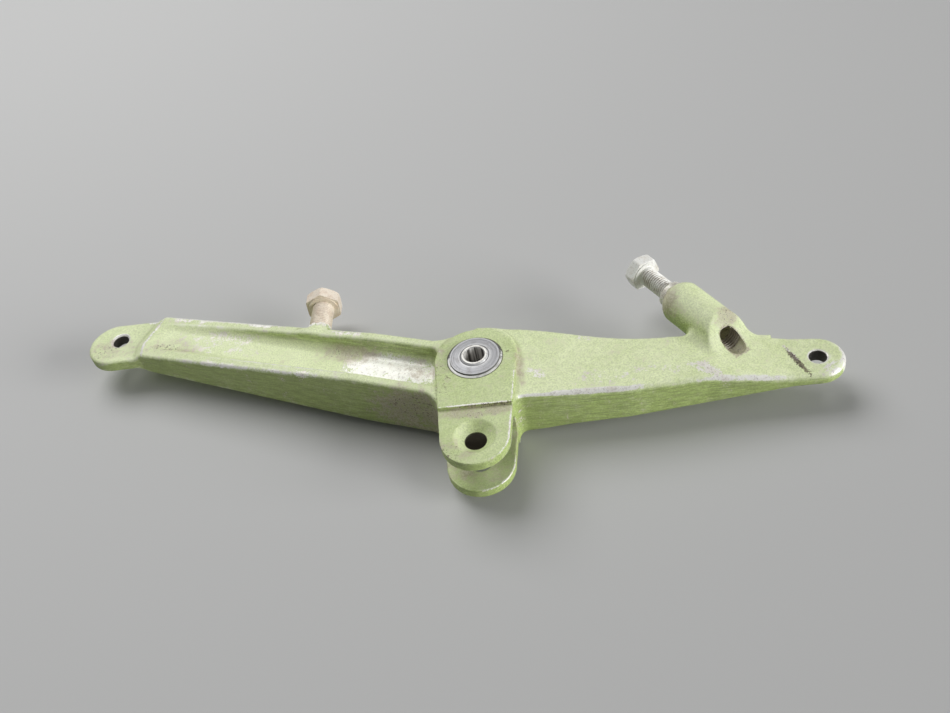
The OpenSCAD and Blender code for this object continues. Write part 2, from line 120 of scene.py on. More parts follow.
def outline_distance(x, y, outline):
    """Distance in plan to the nearest edge of a closed outline, negative where a ray to the right crosses
    the outline an odd number of times."""
    start = np.asarray(outline, float)
    along = np.roll(start, -1, axis=0) - start
    px, py = (v[..., None] for v in np.broadcast_arrays(x, y))
    dx, dy = px - start[:, 0], py - start[:, 1]
    share = np.clip((dx * along[:, 0] + dy * along[:, 1]) / (along ** 2).sum(1), 0, 1)
    gap = np.hypot(dx - share * along[:, 0], dy - share * along[:, 1]).min(-1)
    rise = np.where(along[:, 1] == 0, NEARLY_LEVEL, along[:, 1])
    crosses = ((start[:, 1] > py) != (start[:, 1] + along[:, 1] > py)) & (dx < along[:, 0] * dy / rise)
    return np.where(crosses.sum(-1) % 2 == 1, -gap, gap)


def tangent_point(p, centre, r, side):
    """Point where a line from p touches a circle: turned from the line of centres by the angle whose
    cosine is r over the distance."""
    away = np.subtract(p, centre)
    turn = np.arctan2(away[1], away[0]) + side * np.arccos(r / np.hypot(*away))
    return np.add(centre, r * np.array((np.cos(turn), np.sin(turn))))


def in_arm(x, y, degrees):
    """Plan coordinates along and across an arm that points degrees from +X."""
    c, s = np.cos(np.radians(degrees)), np.sin(np.radians(degrees))
    return x * c + y * s, y * c - x * s


def ramp(value, low, high):
    """Smooth step from 0 at low to 1 at high: three times the square less twice the cube of the share."""
    share = np.clip((value - low) / (high - low), 0, 1)
    return share * share * (3 - 2 * share)


def eased(points, width):
    """Straight stretches between points, softened by averaging a fine table of them over width."""
    at, value = np.array(points, float).T
    fine = np.arange(at[0], at[-1] + EASE_STEP, EASE_STEP)
    n = max(1, int(width / EASE_STEP))
    table = np.pad(np.interp(fine, at, value), n, mode="edge")
    kernel = np.hanning(2 * n + 1)
    smooth = np.convolve(table, kernel / kernel.sum(), mode="valid")
    return lambda q: np.interp(q, fine, smooth)


print("halfway up a smooth step:", float(ramp(0.5, 0.0, 1.0)))

# %% [markdown]
# The hub. It is the thick middle that holds the bearings, and its two front ears make a clevis. In plan
# it is a circle, a smaller circle and the neck that touches both, so it is written as the nearest of
# three distances and kept between two flat machined faces.

# %% Hub and ears
HUB_R = 16.0
HUB_HALF = 12.5
HUB_EDGE_R = 0.5
EAR_R = 13.0
EAR_Y = -38.0

neck_turn = np.arccos((HUB_R - EAR_R) / -EAR_Y)
neck_sides = np.array([(s * np.sin(neck_turn), -np.cos(neck_turn)) for s in (1, -1)])
on_hub_circle = neck_sides * HUB_R
on_ear_circle = neck_sides * EAR_R + np.array((0.0, EAR_Y))
NECK = np.array([on_hub_circle[0], on_ear_circle[0], on_ear_circle[1], on_hub_circle[1]])


def hub_plan(x, y):
    """Smallest of the distances to the hub's circle, the ears' circle and the neck tangent to both."""
    rounds = np.minimum(np.hypot(x, y) - HUB_R, np.hypot(x, y - EAR_Y) - EAR_R)
    return np.minimum(rounds, outline_distance(x, y, NECK))


def hub_block(x, y, z):
    """Plan of the hub and ears between the two machined faces."""
    return meet(hub_plan(x, y), np.abs(z) - HUB_HALF, HUB_EDGE_R)


def rooted(plan, hub, r):
    """Plan of an arm, widened by a fillet of radius r where it leaves the hub."""
    return np.maximum(join(plan, hub, r), plan - r)


print("hub", 2 * HUB_R, "mm across, clevis pin", -EAR_Y, "mm in front of the pivot")

# %% [markdown]
# The left arm. It is a prism whose outline is drawn in plan and whose half height falls along the arm.
# Curves could be lofted through cross-sections, but two drawings keep every size in sight. Outline points
# give the distance along the arm and across it, and height points give the distance along it and half the
# height there.

# %% Left arm's outline and heights
LEFT_ANGLE = 165.1
LEFT_REACH = 167.3
LEFT_END_OFF_HOLE = (1.8, 1.9)
LEFT_END = (LEFT_REACH + LEFT_END_OFF_HOLE[0], LEFT_END_OFF_HOLE[1])
LEFT_END_R = 12.0
LEFT_FRONT = np.array([(0, 20.8), (152.2, 9.6)])
LEFT_REAR = np.array([(0, -6.8), (150.2, -15.3)])
LEFT_ROOT_R = 6.0
LEFT_EDGE_R = 1.3
LUG_HALF = 2.9
RIDGE = 151.2
RIDGE_HALF = 5.2
RIDGE_BOW = ((-15.0, 2.4, 9.6), (-0.3, 1.9, -0.5))
LEFT_HEIGHTS = [(-60, 12.3), (46, 12.3), (RIDGE, RIDGE_HALF), (155.4, LUG_HALF), (200, LUG_HALF)]
LEFT_EASE = 1.6

LEFT_OUTLINE = np.array([
    LEFT_FRONT[0],
    LEFT_FRONT[1],
    tangent_point(LEFT_FRONT[1], LEFT_END, LEFT_END_R, -1),
    LEFT_END,
    tangent_point(LEFT_REAR[1], LEFT_END, LEFT_END_R, 1),
    LEFT_REAR[1],
    LEFT_REAR[0],
])
left_half = eased(LEFT_HEIGHTS, LEFT_EASE)


def to_ridge(along, across):
    """Distance along the left arm, shifted so that the ridge bows out in front of the middle."""
    return along - np.interp(across, *RIDGE_BOW)


ridge_height = round(2 * float(left_half(RIDGE)), 1)
print("left arm", LEFT_REACH, "mm to its hole,", ridge_height, "mm high at the ridge")

# %% [markdown]
# Pocket and stop boss of the left arm. The arm is an I-section: a pocket with sloping walls and a rounded
# floor is pressed into each face down to the web, and the slopes let the hot part be lifted out of its
# die. The walls follow the arm's two long edges at the flange's width and the floor climbs to the ridge.
# The boss for the stop bolt grows out of the rear edge like a bell.

# %% Left arm's pocket and boss
FLANGE = 4.0
WEB_HALF = 4.5
DRAFT = np.radians(7.0)
POCKET_RAMP = 9.0
POCKET_LAND = 1.0
POCKET_CORNER_R = 4.0
POCKET_FLOOR_R = 3.5
POCKET_EDGE_R = 1.1
LEFT_STOP = np.array((-70.389, 38.804, 0.0))
LEFT_AIM = np.radians(90.1)
LEFT_BOSS_R = 10.0
LEFT_BOSS_LAND = 1.0
LEFT_BOSS_ROOT_Y = 26.0
LEFT_BOSS_EDGE_R = 0.3
LEFT_BOSS_FILLET = 2.5
FLARE_DEPTH = 4.6
FLARE_LENGTH = 8.0
FLARE_SLOPE = 0.9


def off_edge(along, across, edge, side):
    """Distance from a straight edge of the arm towards its middle line, on the side +1 or -1."""
    run = (edge[1] - edge[0]) / np.linalg.norm(edge[1] - edge[0])
    return side * ((across - edge[0, 1]) * run[0] - (along - edge[0, 0]) * run[1])


def left_pocket(x, y, z):
    """Room outside the hub between two walls that lean by the draft, over the web and its end ramp."""
    along, across = in_arm(x, y, LEFT_ANGLE)
    lean = FLANGE + (HUB_HALF - np.abs(z)) * np.tan(DRAFT)
    front = (lean - off_edge(along, across, LEFT_FRONT, -1)) * np.cos(DRAFT)
    rear = (lean - off_edge(along, across, LEFT_REAR, 1)) * np.cos(DRAFT)
    climb = (RIDGE_HALF - WEB_HALF) / (POCKET_RAMP - POCKET_LAND)
    floor = WEB_HALF + np.maximum(to_ridge(along, across) - RIDGE + POCKET_RAMP, 0) * climb
    room = meet(np.maximum(front, rear), HUB_R - np.hypot(x, y), POCKET_CORNER_R)
    return meet(room, floor - np.abs(z), POCKET_FLOOR_R)


def left_boss(x, y, z):
    """Round boss whose radius grows towards the arm along a quarter of an ellipse."""
    behind = np.clip((LEFT_STOP[1] - LEFT_BOSS_LAND - y) / FLARE_LENGTH, 0, 1)
    flare = LEFT_BOSS_R - FLARE_DEPTH * np.sqrt(1 - behind ** 2)
    slope = np.hypot(1, FLARE_SLOPE * behind)
    ends = np.maximum(y - LEFT_STOP[1], LEFT_BOSS_ROOT_Y - y)
    return meet((np.hypot(x - LEFT_STOP[0], z) - flare) / slope, ends, LEFT_BOSS_EDGE_R)


def left_arm(x, y, z):
    """Plan outline meeting the sloping faces at a rounded edge, plus the boss and less the pockets."""
    along, across = in_arm(x, y, LEFT_ANGLE)
    lug = np.hypot(along - LEFT_END[0], across - LEFT_END[1]) - LEFT_END_R
    plan = np.minimum(outline_distance(along, across, LEFT_OUTLINE), lug)
    plan = rooted(plan, hub_plan(x, y), LEFT_ROOT_R)
    arm = meet(plan, np.abs(z) - left_half(to_ridge(along, across)), LEFT_EDGE_R)
    arm = join(arm, left_boss(x, y, z), LEFT_BOSS_FILLET)
    return cut(arm, left_pocket(x, y, z), POCKET_EDGE_R)


pocket_depth = round(float(left_half(LEFT_REACH / 2)) - WEB_HALF, 1)
print("left pocket", pocket_depth, "mm deep halfway along, flanges", FLANGE, "mm thick")

# %% [markdown]
# The right arm. It is made like the left one but solid. Its rear side runs in a wave, which a cosine
# gives with few points. Its top climbs a little towards the rear beside the hub, and it ends against the
# hub in a small fillet that lifts the height there.

# %% Right arm
RIGHT_ANGLE = -3.8
RIGHT_REACH = 128.9
RIGHT_LUG = (RIGHT_REACH, 0.0)
RIGHT_LUG_R = 10.1
RIGHT_ROOT_FRONT = (0.0, -20.7)
RIGHT_BEND = (59.0, -16.8)
RIGHT_SHOULDER = (88.0, -12.6)
RIGHT_STEP = (113.4, 11.1)
RIGHT_STEP_REAR = (113.4, 12.7)
RIGHT_ROOT_REAR = (0.0, 16.0)
WAVE_FROM = 8.0
WAVE_LENGTH = 58.0
WAVE_LOW = 10.0
WAVE_RISE = 6.0
WAVE_POINTS = 13
RIGHT_HEIGHTS = [(-60, 13.8), (RIGHT_SHOULDER[0], 7.4), (118.9, LUG_HALF), (160, LUG_HALF)]
RIGHT_EASE = 4.0
RIGHT_ROOT_R = 4.0
RIGHT_TOP_FILLET = 2.2
RIGHT_EDGE_R = 1.5
FRONT_EDGE_MORE = 1.3
REAR_CLIMB = 1.5
CLIMB_ACROSS = (-8.0, 14.0)
CLIMB_ALONG = (58.0, 8.0)
SOFT_EDGE_ACROSS = (2.0, -6.0)
SOFT_EDGE_ALONG = (22.0, 40.0)

wave = np.linspace(1, 0, WAVE_POINTS)[:, None]
wave_across = WAVE_LOW + WAVE_RISE * (1 + np.cos(np.pi * wave)) / 2
RIGHT_REAR = np.hstack([WAVE_FROM + WAVE_LENGTH * wave, wave_across])
RIGHT_OUTLINE = np.vstack([
    RIGHT_ROOT_FRONT,
    RIGHT_BEND,
    RIGHT_SHOULDER,
    tangent_point(RIGHT_SHOULDER, RIGHT_LUG, RIGHT_LUG_R, 1),
    RIGHT_LUG,
    tangent_point(RIGHT_STEP, RIGHT_LUG, RIGHT_LUG_R, -1),
    RIGHT_STEP,
    RIGHT_STEP_REAR,
    RIGHT_REAR,
    RIGHT_ROOT_REAR,
])
right_half = eased(RIGHT_HEIGHTS, RIGHT_EASE)


def right_arm(x, y, z):
    """Plan outline meeting the sloping faces; the front edge's radius grows away from the hub."""
    along, across = in_arm(x, y, RIGHT_ANGLE)
    hub = hub_plan(x, y)
    lug = np.hypot(along - RIGHT_REACH, across) - RIGHT_LUG_R
    plan = rooted(np.minimum(outline_distance(along, across, RIGHT_OUTLINE), lug), hub, RIGHT_ROOT_R)
    to_hub = RIGHT_TOP_FILLET - np.clip(hub, 0, RIGHT_TOP_FILLET)
    lift = RIGHT_TOP_FILLET - np.sqrt(np.maximum(RIGHT_TOP_FILLET ** 2 - to_hub ** 2, 0))
    climb = REAR_CLIMB * ramp(across, *CLIMB_ACROSS) * ramp(along, *CLIMB_ALONG)
    top = np.minimum(right_half(along) + lift + climb, HUB_HALF)
    more = FRONT_EDGE_MORE * ramp(across, *SOFT_EDGE_ACROSS) * ramp(along, *SOFT_EDGE_ALONG)
    return meet(plan, np.abs(z) - top, RIGHT_EDGE_R + more)


print("right arm", RIGHT_REACH, "mm to its hole,", len(RIGHT_OUTLINE), "points in its outline")

# %% [markdown]
# The slanted boss. The right stop's boss is a bar with a swollen nose and a small ring at its end, sliced
# by a sloping face where its hole comes out. A web fills the corner between the bar and the arm's rear
# side. The bar is easiest to write in the bolt's own direction, so a helper turns every point into it.

# %% Right stop's boss
RIGHT_STOP = np.array((78.7843, 30.3454, 7.0))
RIGHT_STOP_ANGLE = 123.0
RIGHT_AIM = np.radians(RIGHT_STOP_ANGLE)
BOSS_R = 8.8
BOSS_EDGE_R = 0.4
RING_R = 5.3
RING_L = 2.4
NOSE_L = 4.8
NOSE_TIP = 0.98
NOSE_POWER = 1.5
FACE_FROM = 34.6
FACE_LEAN = np.radians(38.0)
FACE_EDGE_R = 0.7
GUSSET_FILLET = 5.5
GUSSET_DEPTH = 3.5
GUSSET_EDGE_R = 1.5
GUSSET_REAR = 10.6
GUSSET_WIDTH = 9.0
GUSSET_SPAN = (12.0, 30.0)
GUSSET_INSET = 0.3


def along_right_stop(x, y, z):
    """Distance outwards along the right bolt's axis, radius from the axis, and height over it."""
    dx, dy, dz = x - RIGHT_STOP[0], y - RIGHT_STOP[1], z - RIGHT_STOP[2]
    along = dx * np.cos(RIGHT_AIM) + dy * np.sin(RIGHT_AIM)
    return along, np.hypot(dx * np.sin(RIGHT_AIM) - dy * np.cos(RIGHT_AIM), dz), dz


def right_boss(x, y, z):
    """Bar whose nose narrows along a rounded cone to a ring, cut by the leaning face."""
    along, radius, dz = along_right_stop(x, y, z)
    nose = np.clip((along + RING_L + NOSE_L) / NOSE_L, 0, NOSE_TIP)
    swell = (1 - nose ** NOSE_POWER) ** (1 / NOSE_POWER)
    bar = (radius - RING_R - (BOSS_R - RING_R) * swell) / (1 + nose)
    face = -(along + FACE_FROM) * np.cos(FACE_LEAN) + dz * np.sin(FACE_LEAN)
    return meet(meet(bar, along, BOSS_EDGE_R), face, FACE_EDGE_R)


def right_gusset(x, y, z):
    """Web in the corner between boss and rear edge: two straight sides joined by a fillet."""
    along, _, _ = along_right_stop(x, y, z)
    down, across = in_arm(x, y, RIGHT_ANGLE)
    side = (x - RIGHT_STOP[0]) * -np.sin(RIGHT_AIM) + (y - RIGHT_STOP[1]) * np.cos(RIGHT_AIM)
    wedge = join(side - BOSS_R + GUSSET_INSET, across - GUSSET_REAR, GUSSET_FILLET)
    beside = np.maximum(-side, side - BOSS_R - GUSSET_WIDTH)
    near = np.maximum(beside, np.maximum(along + GUSSET_SPAN[0], -along - GUSSET_SPAN[1]))
    top = right_half(down)
    return meet(np.maximum(wedge, near), np.maximum(z - top, top - GUSSET_DEPTH - z), GUSSET_EDGE_R)


print("right boss", 2 * BOSS_R, "mm thick, narrowing to a ring of", 2 * RING_R, "mm")

# %% [markdown]
# The machined cuts, in a shop's order: the steps and the slot of the clevis, the bearing seats, the pin
# hole with its countersink, the lug holes and last the two tapped holes. The right one runs on past the
# sloping face as a groove in the arm, which only happens if it is cut last.

# %% Bores, slot and tapped holes
BOSS_FILLET = 4.0
STEP_Y = -24.4
STEP_TOP = 11.0
STEP_BOTTOM = -9.0
STEP_CORNER_R = 0.5
STEP_EDGE_R = 0.3
SLOT_Y = -64.4
SLOT_Z = 0.8
SLOT_HALF = (36.0, 2.0)
SLOT_R = 4.0
SLOT_EDGE_R = 0.35
SEAT_R = 10.32
SEAT_FLOOR = 7.76
SEAT_BEVEL = 0.55
MOUTH_ABOVE = 11.0
SHOULDER_R = 8.62
PIN_R = 4.05
SINK_R = 8.05
SINK_HALF = np.radians(50)
SINK_ABOVE = 5.0
LUG_BEVEL_ABOVE = 2.0
LUG_HOLES = ((LEFT_ANGLE, LEFT_REACH, 3.4, 0.8), (RIGHT_ANGLE, RIGHT_REACH, 3.2, 0.4))
LEFT_TAP_R = 4.81
LEFT_TAP_DEPTH = 11.5
TAP_R = 4.04
TAP_END = -38.5


def clevis_slot(y, z):
    """Flat box rounded by the cutter's radius: the distance to the box less that radius."""
    sy, sz = np.abs(y - SLOT_Y) - SLOT_HALF[0], np.abs(z - SLOT_Z) - SLOT_HALF[1]
    return np.hypot(np.maximum(sy, 0), np.maximum(sz, 0)) + np.minimum(np.maximum(sy, sz), 0) - SLOT_R


def bearing_seats(x, y, z):
    """A seat from each face with a bevelled mouth, and the narrower hole between them."""
    axis = np.hypot(x, y)
    seat = np.maximum(axis - SEAT_R, SEAT_FLOOR - np.abs(z))
    mouth = (axis - SEAT_R - SEAT_BEVEL - (np.abs(z) - HUB_HALF)) / np.sqrt(2)
    return np.minimum(np.minimum(seat, np.maximum(mouth, MOUTH_ABOVE - np.abs(z))), axis - SHOULDER_R)


def pin_hole(x, y, z):
    """Hole through both ears with the cone of a flush bolt's head in the upper one."""
    pin = np.hypot(x, y - EAR_Y)
    sink = (pin - SINK_R - (z - STEP_TOP) * np.tan(SINK_HALF)) * np.cos(SINK_HALF)
    return np.minimum(pin - PIN_R, np.maximum(sink, SINK_ABOVE - z))


def lug_hole(x, y, z, degrees, reach, r, bevel):
    """Hole of radius r through an arm's lug, with a cone of 45 degrees at both faces."""
    along, across = in_arm(x, y, degrees)
    radius = np.hypot(along - reach, across)
    cone = (radius - r - bevel - (np.abs(z) - LUG_HALF)) / np.sqrt(2)
    return np.minimum(radius - r, np.maximum(cone, LUG_BEVEL_ABOVE - np.abs(z)))


def untapped(x, y, z):
    """Arms, hub and bosses joined, then the steps, slot, seats and plain holes cut in turn."""
    body = np.minimum(np.minimum(hub_block(x, y, z), left_arm(x, y, z)), right_arm(x, y, z))
    body = np.minimum(join(body, right_boss(x, y, z), BOSS_FILLET), right_gusset(x, y, z))
    body = cut(body, meet(y - STEP_Y, STEP_TOP - z, STEP_CORNER_R), STEP_EDGE_R)
    body = cut(body, meet(y - STEP_Y, z - STEP_BOTTOM, STEP_CORNER_R), STEP_EDGE_R)
    body = cut(body, clevis_slot(y, z), SLOT_EDGE_R)
    body = np.maximum(body, -bearing_seats(x, y, z))
    body = np.maximum(body, -pin_hole(x, y, z))
    for degrees, reach, r, bevel in LUG_HOLES:
        body = np.maximum(body, -lug_hole(x, y, z, degrees, reach, r, bevel))
    return body


def forging(x, y, z):
    """The body less its two tapped holes; the right one ends in a ball, deep in the arm's top."""
    left_tap = np.maximum(np.hypot(x - LEFT_STOP[0], z) - LEFT_TAP_R, LEFT_STOP[1] - LEFT_TAP_DEPTH - y)
    along, radius, _ = along_right_stop(x, y, z)
    right_tap = np.hypot(radius, np.minimum(along - TAP_END, 0)) - TAP_R
    return np.maximum(untapped(x, y, z), -np.minimum(left_tap, right_tap))


pivot = np.zeros(1)
print("from the pivot to the nearest metal:", round(float(forging(pivot, pivot, pivot)[0]), 2), "mm")

# %% [markdown]
# From distances to a mesh. Boolean modifiers could join ready-made solids, but they leave no fillets. So
# the space is cut into small cubes. Every cube that the surface passes through gets one vertex, put where
# the tangent planes at its crossed edges agree best, so sharp machined edges stay sharp; every crossed
# grid edge gets one face between the four cubes round it. All of it is array work.

# %% Surface from a distance field
CELL = 0.68
SKIN_LOW = (-177.0, -53.5, -14.2)
SKIN_HIGH = (141.5, 59.0, 17.5)
PULL = 0.02
SLACK = 0.1
SHORTEST = 1e-12


def slopes(field, p, h=0.02):
    """Direction in which the distance grows: central differences along the axes, scaled to length one."""
    steps = np.eye(3) * h
    g = np.stack([field(*(p + s).T) - field(*(p - s).T) for s in steps], -1)
    return g / np.maximum(np.linalg.norm(g, axis=1, keepdims=True), SHORTEST)


def crossings(value, low, cell, d):
    """Points where grid edges along axis d cross the surface, by the share of the two values; the numbers
    of the four cubes round each edge; and those numbers in the order that makes a face look outwards."""
    inside = value < 0
    lower = tuple(slice(0, -1) if k == d else slice(1, -1) for k in range(3))
    upper = tuple(slice(1, None) if k == d else slice(1, -1) for k in range(3))
    at = np.argwhere(inside[lower] != inside[upper]) + [0 if k == d else 1 for k in range(3)]
    beyond = at.copy()
    beyond[:, d] += 1
    v0, v1 = value[tuple(at.T)], value[tuple(beyond.T)]
    p = np.array(low) + at * cell
    p[:, d] += cell * v0 / (v0 - v1)
    strides = np.array((value.shape[1] * value.shape[2], value.shape[2], 1))
    b, c = strides[(d + 1) % 3], strides[(d + 2) % 3]
    base = at @ strides
    ring = np.stack([base, base - b, base - b - c, base - c], 1)
    return p, ring, np.where((v0 < 0)[:, None], ring, ring[:, ::-1])


def contour(field, low, high, cell):
    """Vertices and four-sided faces of the field's zero surface inside a box, with cubes of side cell. A
    vertex solves least squares over its cube's tangent planes, pulled to the middle of its crossings."""
    axes = [np.arange(a, b + cell, cell) for a, b in zip(low, high)]
    value = field(*np.meshgrid(*axes, indexing="ij", sparse=True)).astype(np.float32)
    by_axis = [crossings(value, low, cell, d) for d in range(3)]
    points, rings, quads = (np.vstack(part) for part in zip(*by_axis))
    normals = slopes(field, points)
    cells, slot = np.unique(rings, return_inverse=True)
    slot = slot.ravel()
    count = np.bincount(slot, minlength=len(cells))[:, None]

    def gather(v):
        """Sum of an edge quantity over the edges of each cube."""
        return np.stack([np.bincount(slot, np.repeat(column, 4), len(cells)) for column in v.T], 1)

    middle = gather(points) / count
    planes = gather((normals[:, :, None] * normals[:, None, :]).reshape(-1, 9)).reshape(-1, 3, 3)
    offsets = gather(normals * (normals * points).sum(1, keepdims=True))
    pull = PULL * count[:, :, None] * np.eye(3)
    wanted = offsets[:, :, None] + pull @ middle[:, :, None]
    vertex = np.linalg.solve(planes + pull, wanted)[:, :, 0]
    corner = np.array(low) + np.stack(np.unravel_index(cells, value.shape), 1) * cell
    vertex = np.clip(vertex, corner - SLACK * cell, corner + (1 + SLACK) * cell)
    return vertex, np.searchsorted(cells, quads)


skin, skin_faces = contour(forging, SKIN_LOW, SKIN_HIGH, CELL)
print("skin", len(skin), "vertices", len(skin_faces), "faces")

# %% [markdown]
# From arrays to an object. Every new piece goes through one helper: it fills a mesh, stores the numbers
# that a finish will read at each vertex, and says which body the piece rides on. The object stays at the
# origin, because its place is already in its vertices.

# %% Mesh piece
def mesh_piece(name, vertices, faces, body, slot, sharp, **marks):
    """Object at the origin from millimetre vertices and faces, smooth shaded, with edges over sharp
    degrees kept hard; each mark is a number per vertex that a finish can read by name."""
    mesh = bpy.data.meshes.new(name)
    mesh.from_pydata((np.asarray(vertices) * MM).tolist(), [], faces)
    mesh.polygons.foreach_set("use_smooth", np.ones(len(mesh.polygons), bool))
    mesh.set_sharp_from_angle(angle=np.radians(sharp))
    for mark, value in marks.items():
        layer = mesh.attributes.new(mark, "FLOAT", "POINT")
        layer.data.foreach_set("value", np.asarray(value, np.float32))
    mesh.update()
    piece = bpy.data.objects.new(name, mesh)
    bpy.context.scene.collection.objects.link(piece)
    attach(piece, body)
    print(name, len(mesh.vertices), "vertices", len(mesh.polygons), "faces")
    return piece


print("pieces are stored at", MM, "m to the millimetre")

# %% [markdown]
# Wear on the edges. On the real lever the primer has rubbed off along the edges that get handled.
# Painting by hand would need a picture; here each kind of mark is a number per vertex. Edges are found by
# how sharply the surface bends, and oval spots say how hard each stretch of edge was rubbed.

# %% Worn edges
SPOT_CORE = 0.35
BROAD_STEP = 2.0
HUB_BLEND = (1.5, -0.5)
FRONT_EDGE_FROM = 17
FRONT_EDGE_SIDE = -6
SINK_RIM = 8.8


def bend(field, p, h=0.8):
    """Sum of the distance's second differences along the axes: one over the radius of an outer edge."""
    steps = np.eye(3) * h
    around = sum(field(*(p + s).T) + field(*(p - s).T) for s in steps)
    return (around - 6 * field(*p.T)) / h ** 2


def blot(p, centre, reach, turn):
    """Oval spot: 1 in the middle, 0 beyond its reach along its length, its width and its height."""
    gap = p - np.array(centre)
    along, across = in_arm(gap[:, 0], gap[:, 1], turn)
    out = np.sqrt((along / reach[0]) ** 2 + (across / reach[1]) ** 2 + (gap[:, 2] / reach[2]) ** 2)
    return ramp(out, 1.0, SPOT_CORE)


def strongest(p, spots):
    """Largest of several spots at each vertex; a spot is a strength, a centre, a reach and a turn."""
    heights = [strength * blot(p, centre, reach, turn) for strength, centre, reach, turn in spots]
    return np.max(heights, axis=0)


RUBBED_EDGES = (
    (1.0, (40.0, -21.0, 10.0), (44.0, 5.0, 5.0), 0.0),  # right arm's front edge by the hub
    (0.5, (96.0, -19.0, 5.0), (40.0, 6.0, 5.0), 8.0),  # the same edge further out
    (0.42, (-85.0, 10.0, 9.0), (90.0, 7.0, 6.0), LEFT_ANGLE),  # left arm's front flange
    (0.75, (-118.0, 46.0, 7.0), (40.0, 7.0, 5.0), LEFT_ANGLE),  # rear flange, outer half
    (0.45, (-45.0, 26.0, 12.0), (34.0, 6.0, 4.0), LEFT_ANGLE),  # rear flange, inner half
    (0.45, (14.0, -38.0, 9.0), (12.0, 22.0, 6.0), 0.0),  # upper ear, right side
    (0.4, (15.0, -15.0, 12.5), (6.0, 12.0, 3.0), 0.0),  # hub's right edge
    (0.7, (0.0, STEP_Y, 12.7), (24.0, 1.5, 0.5), 0.0),  # step in front of the bearing
    (0.75, (136.0, -12.0, 2.0), (9.0, 10.0, 6.0), 0.0),  # right lug
    (0.45, (8.0, -44.0, -5.0), (12.0, 14.0, 4.0), 0.0),  # lower ear
    (0.8, (16.5, -20.0, -7.0), (5.0, 9.0, 9.0), 0.0),  # below the right arm's root
    (0.45, (13.0, -34.0, 4.0), (4.0, 14.0, 8.0), 0.0),  # clevis, right side
)
facing = slopes(forging, skin)
upward = facing[:, 2]
curve = bend(forging, skin)
broad_curve = bend(forging, skin, BROAD_STEP)
right_along, right_across = in_arm(skin[:, 0], skin[:, 1], RIGHT_ANGLE)
pin_gap = np.hypot(skin[:, 0], skin[:, 1] - EAR_Y)
on_hub = ramp(hub_plan(skin[:, 0], skin[:, 1]), *HUB_BLEND)

# The right arm's front edge has worn along its crest only, even where its radius is large; every other
# edge wears where it is sharp. The rim is the wider band beside an edge, where the primer has faded.
rubbed = strongest(skin, RUBBED_EDGES)
front_edge = (right_along > FRONT_EDGE_FROM) * (right_across < FRONT_EDGE_SIDE)
outside_countersink = pin_gap >= SINK_RIM
crest = np.where(front_edge, ramp(upward, 0.30, 0.62) * ramp(upward, 0.995, 0.93), 1.0)
bent = np.where(front_edge, ramp(curve, 0.05, 0.28), ramp(curve, 0.15, 0.8))
edge = bent * np.clip(0.25 + rubbed, 0, 1) * crest * outside_countersink
rim = ramp(broad_curve, 0.06, 0.32) * np.clip(0.35 + 0.6 * rubbed, 0, 1) * (1 - on_hub)
rim *= np.where(front_edge, ramp(upward, 0.25, 0.6) * (0.6 + 0.4 * ramp(right_along, 50, 75)), 1.0)
print("worn edge on", round(100 * float((edge > 0.5).mean())), "% of the vertices")

# %% [markdown]
# Bare spots. In some places the primer is gone altogether: a large patch on the long arm's floor, scuffs
# on its flanges, a scratch on the right lug, the faces round the stop bolts and the line of the ridge.
# The spots are listed one by one; the finish later breaks up their outlines with noise.

# %% Bare spots
BARE_SPOTS = (
    (1.0, (-38.0, 6.4, 4.4), (27.0, 12.5, 4.5), LEFT_ANGLE),  # left arm's floor, the large patch
    (0.8, (-24.5, 2.6, 4.4), (14.0, 10.0, 4.5), LEFT_ANGLE),  # its end by the hub
    (0.72, (-149.0, 54.5, 2.0), (14.0, 4.5, 5.0), LEFT_ANGLE),  # behind the ridge
    (0.85, (-91.0, 37.0, 8.8), (16.0, 3.6, 3.0), LEFT_ANGLE),  # rear flange beside the stop
    (0.6, (-125.0, 47.0, 6.5), (22.0, 3.0, 3.0), LEFT_ANGLE),  # rear flange, outer end
    (0.55, (-52.0, 22.8, 11.6), (14.0, 2.6, 3.0), LEFT_ANGLE),  # rear flange, inner end
    (0.5, (-112.0, 17.0, 7.8), (16.0, 3.0, 3.0), LEFT_ANGLE),  # front flange, outer end
    (0.5, (-72.0, 3.0, 10.6), (18.0, 3.2, 3.0), LEFT_ANGLE),  # front flange, middle
    (0.36, (-112.0, 33.0, 4.5), (34.0, 12.0, 4.0), LEFT_ANGLE),  # floor's outer half
    (0.58, (87.0, -13.0, 6.5), (13.0, 5.0, 4.0), -35.0),  # right arm's shoulder
    (0.5, (22.5, -9.5, 10.8), (9.0, 4.0, 3.0), -20.0),  # right arm's root
    (0.62, (134.0, -13.5, 1.5), (9.0, 4.0, 5.0), 25.0),  # right lug's front
    (0.33, (60.0, -13.0, 8.5), (42.0, 7.0, 4.0), 0.0),  # right arm's top along its front
    (1.2, RIGHT_STOP, (9.0, 9.0, 9.0), 0.0),  # ring under the right bolt
    (1.0, LEFT_STOP, (10.0, 3.5, 10.0), 0.0),  # face under the left bolt
    (0.42, (42.0, 8.0, 10.0), (6.0, 3.0, 3.0), -20.0),  # right arm's top
    (0.8, (119.6, -6.4, 3.2), (8.0, 1.1, 2.0), -66.0),  # scratch on the right lug
    (0.5, (16.0, -24.0, -2.0), (3.0, 6.0, 9.0), 0.0),  # clevis below the right arm
)
RIDGE_WEAR = (1.2, 0.3)
RIDGE_WEAR_ACROSS = 15

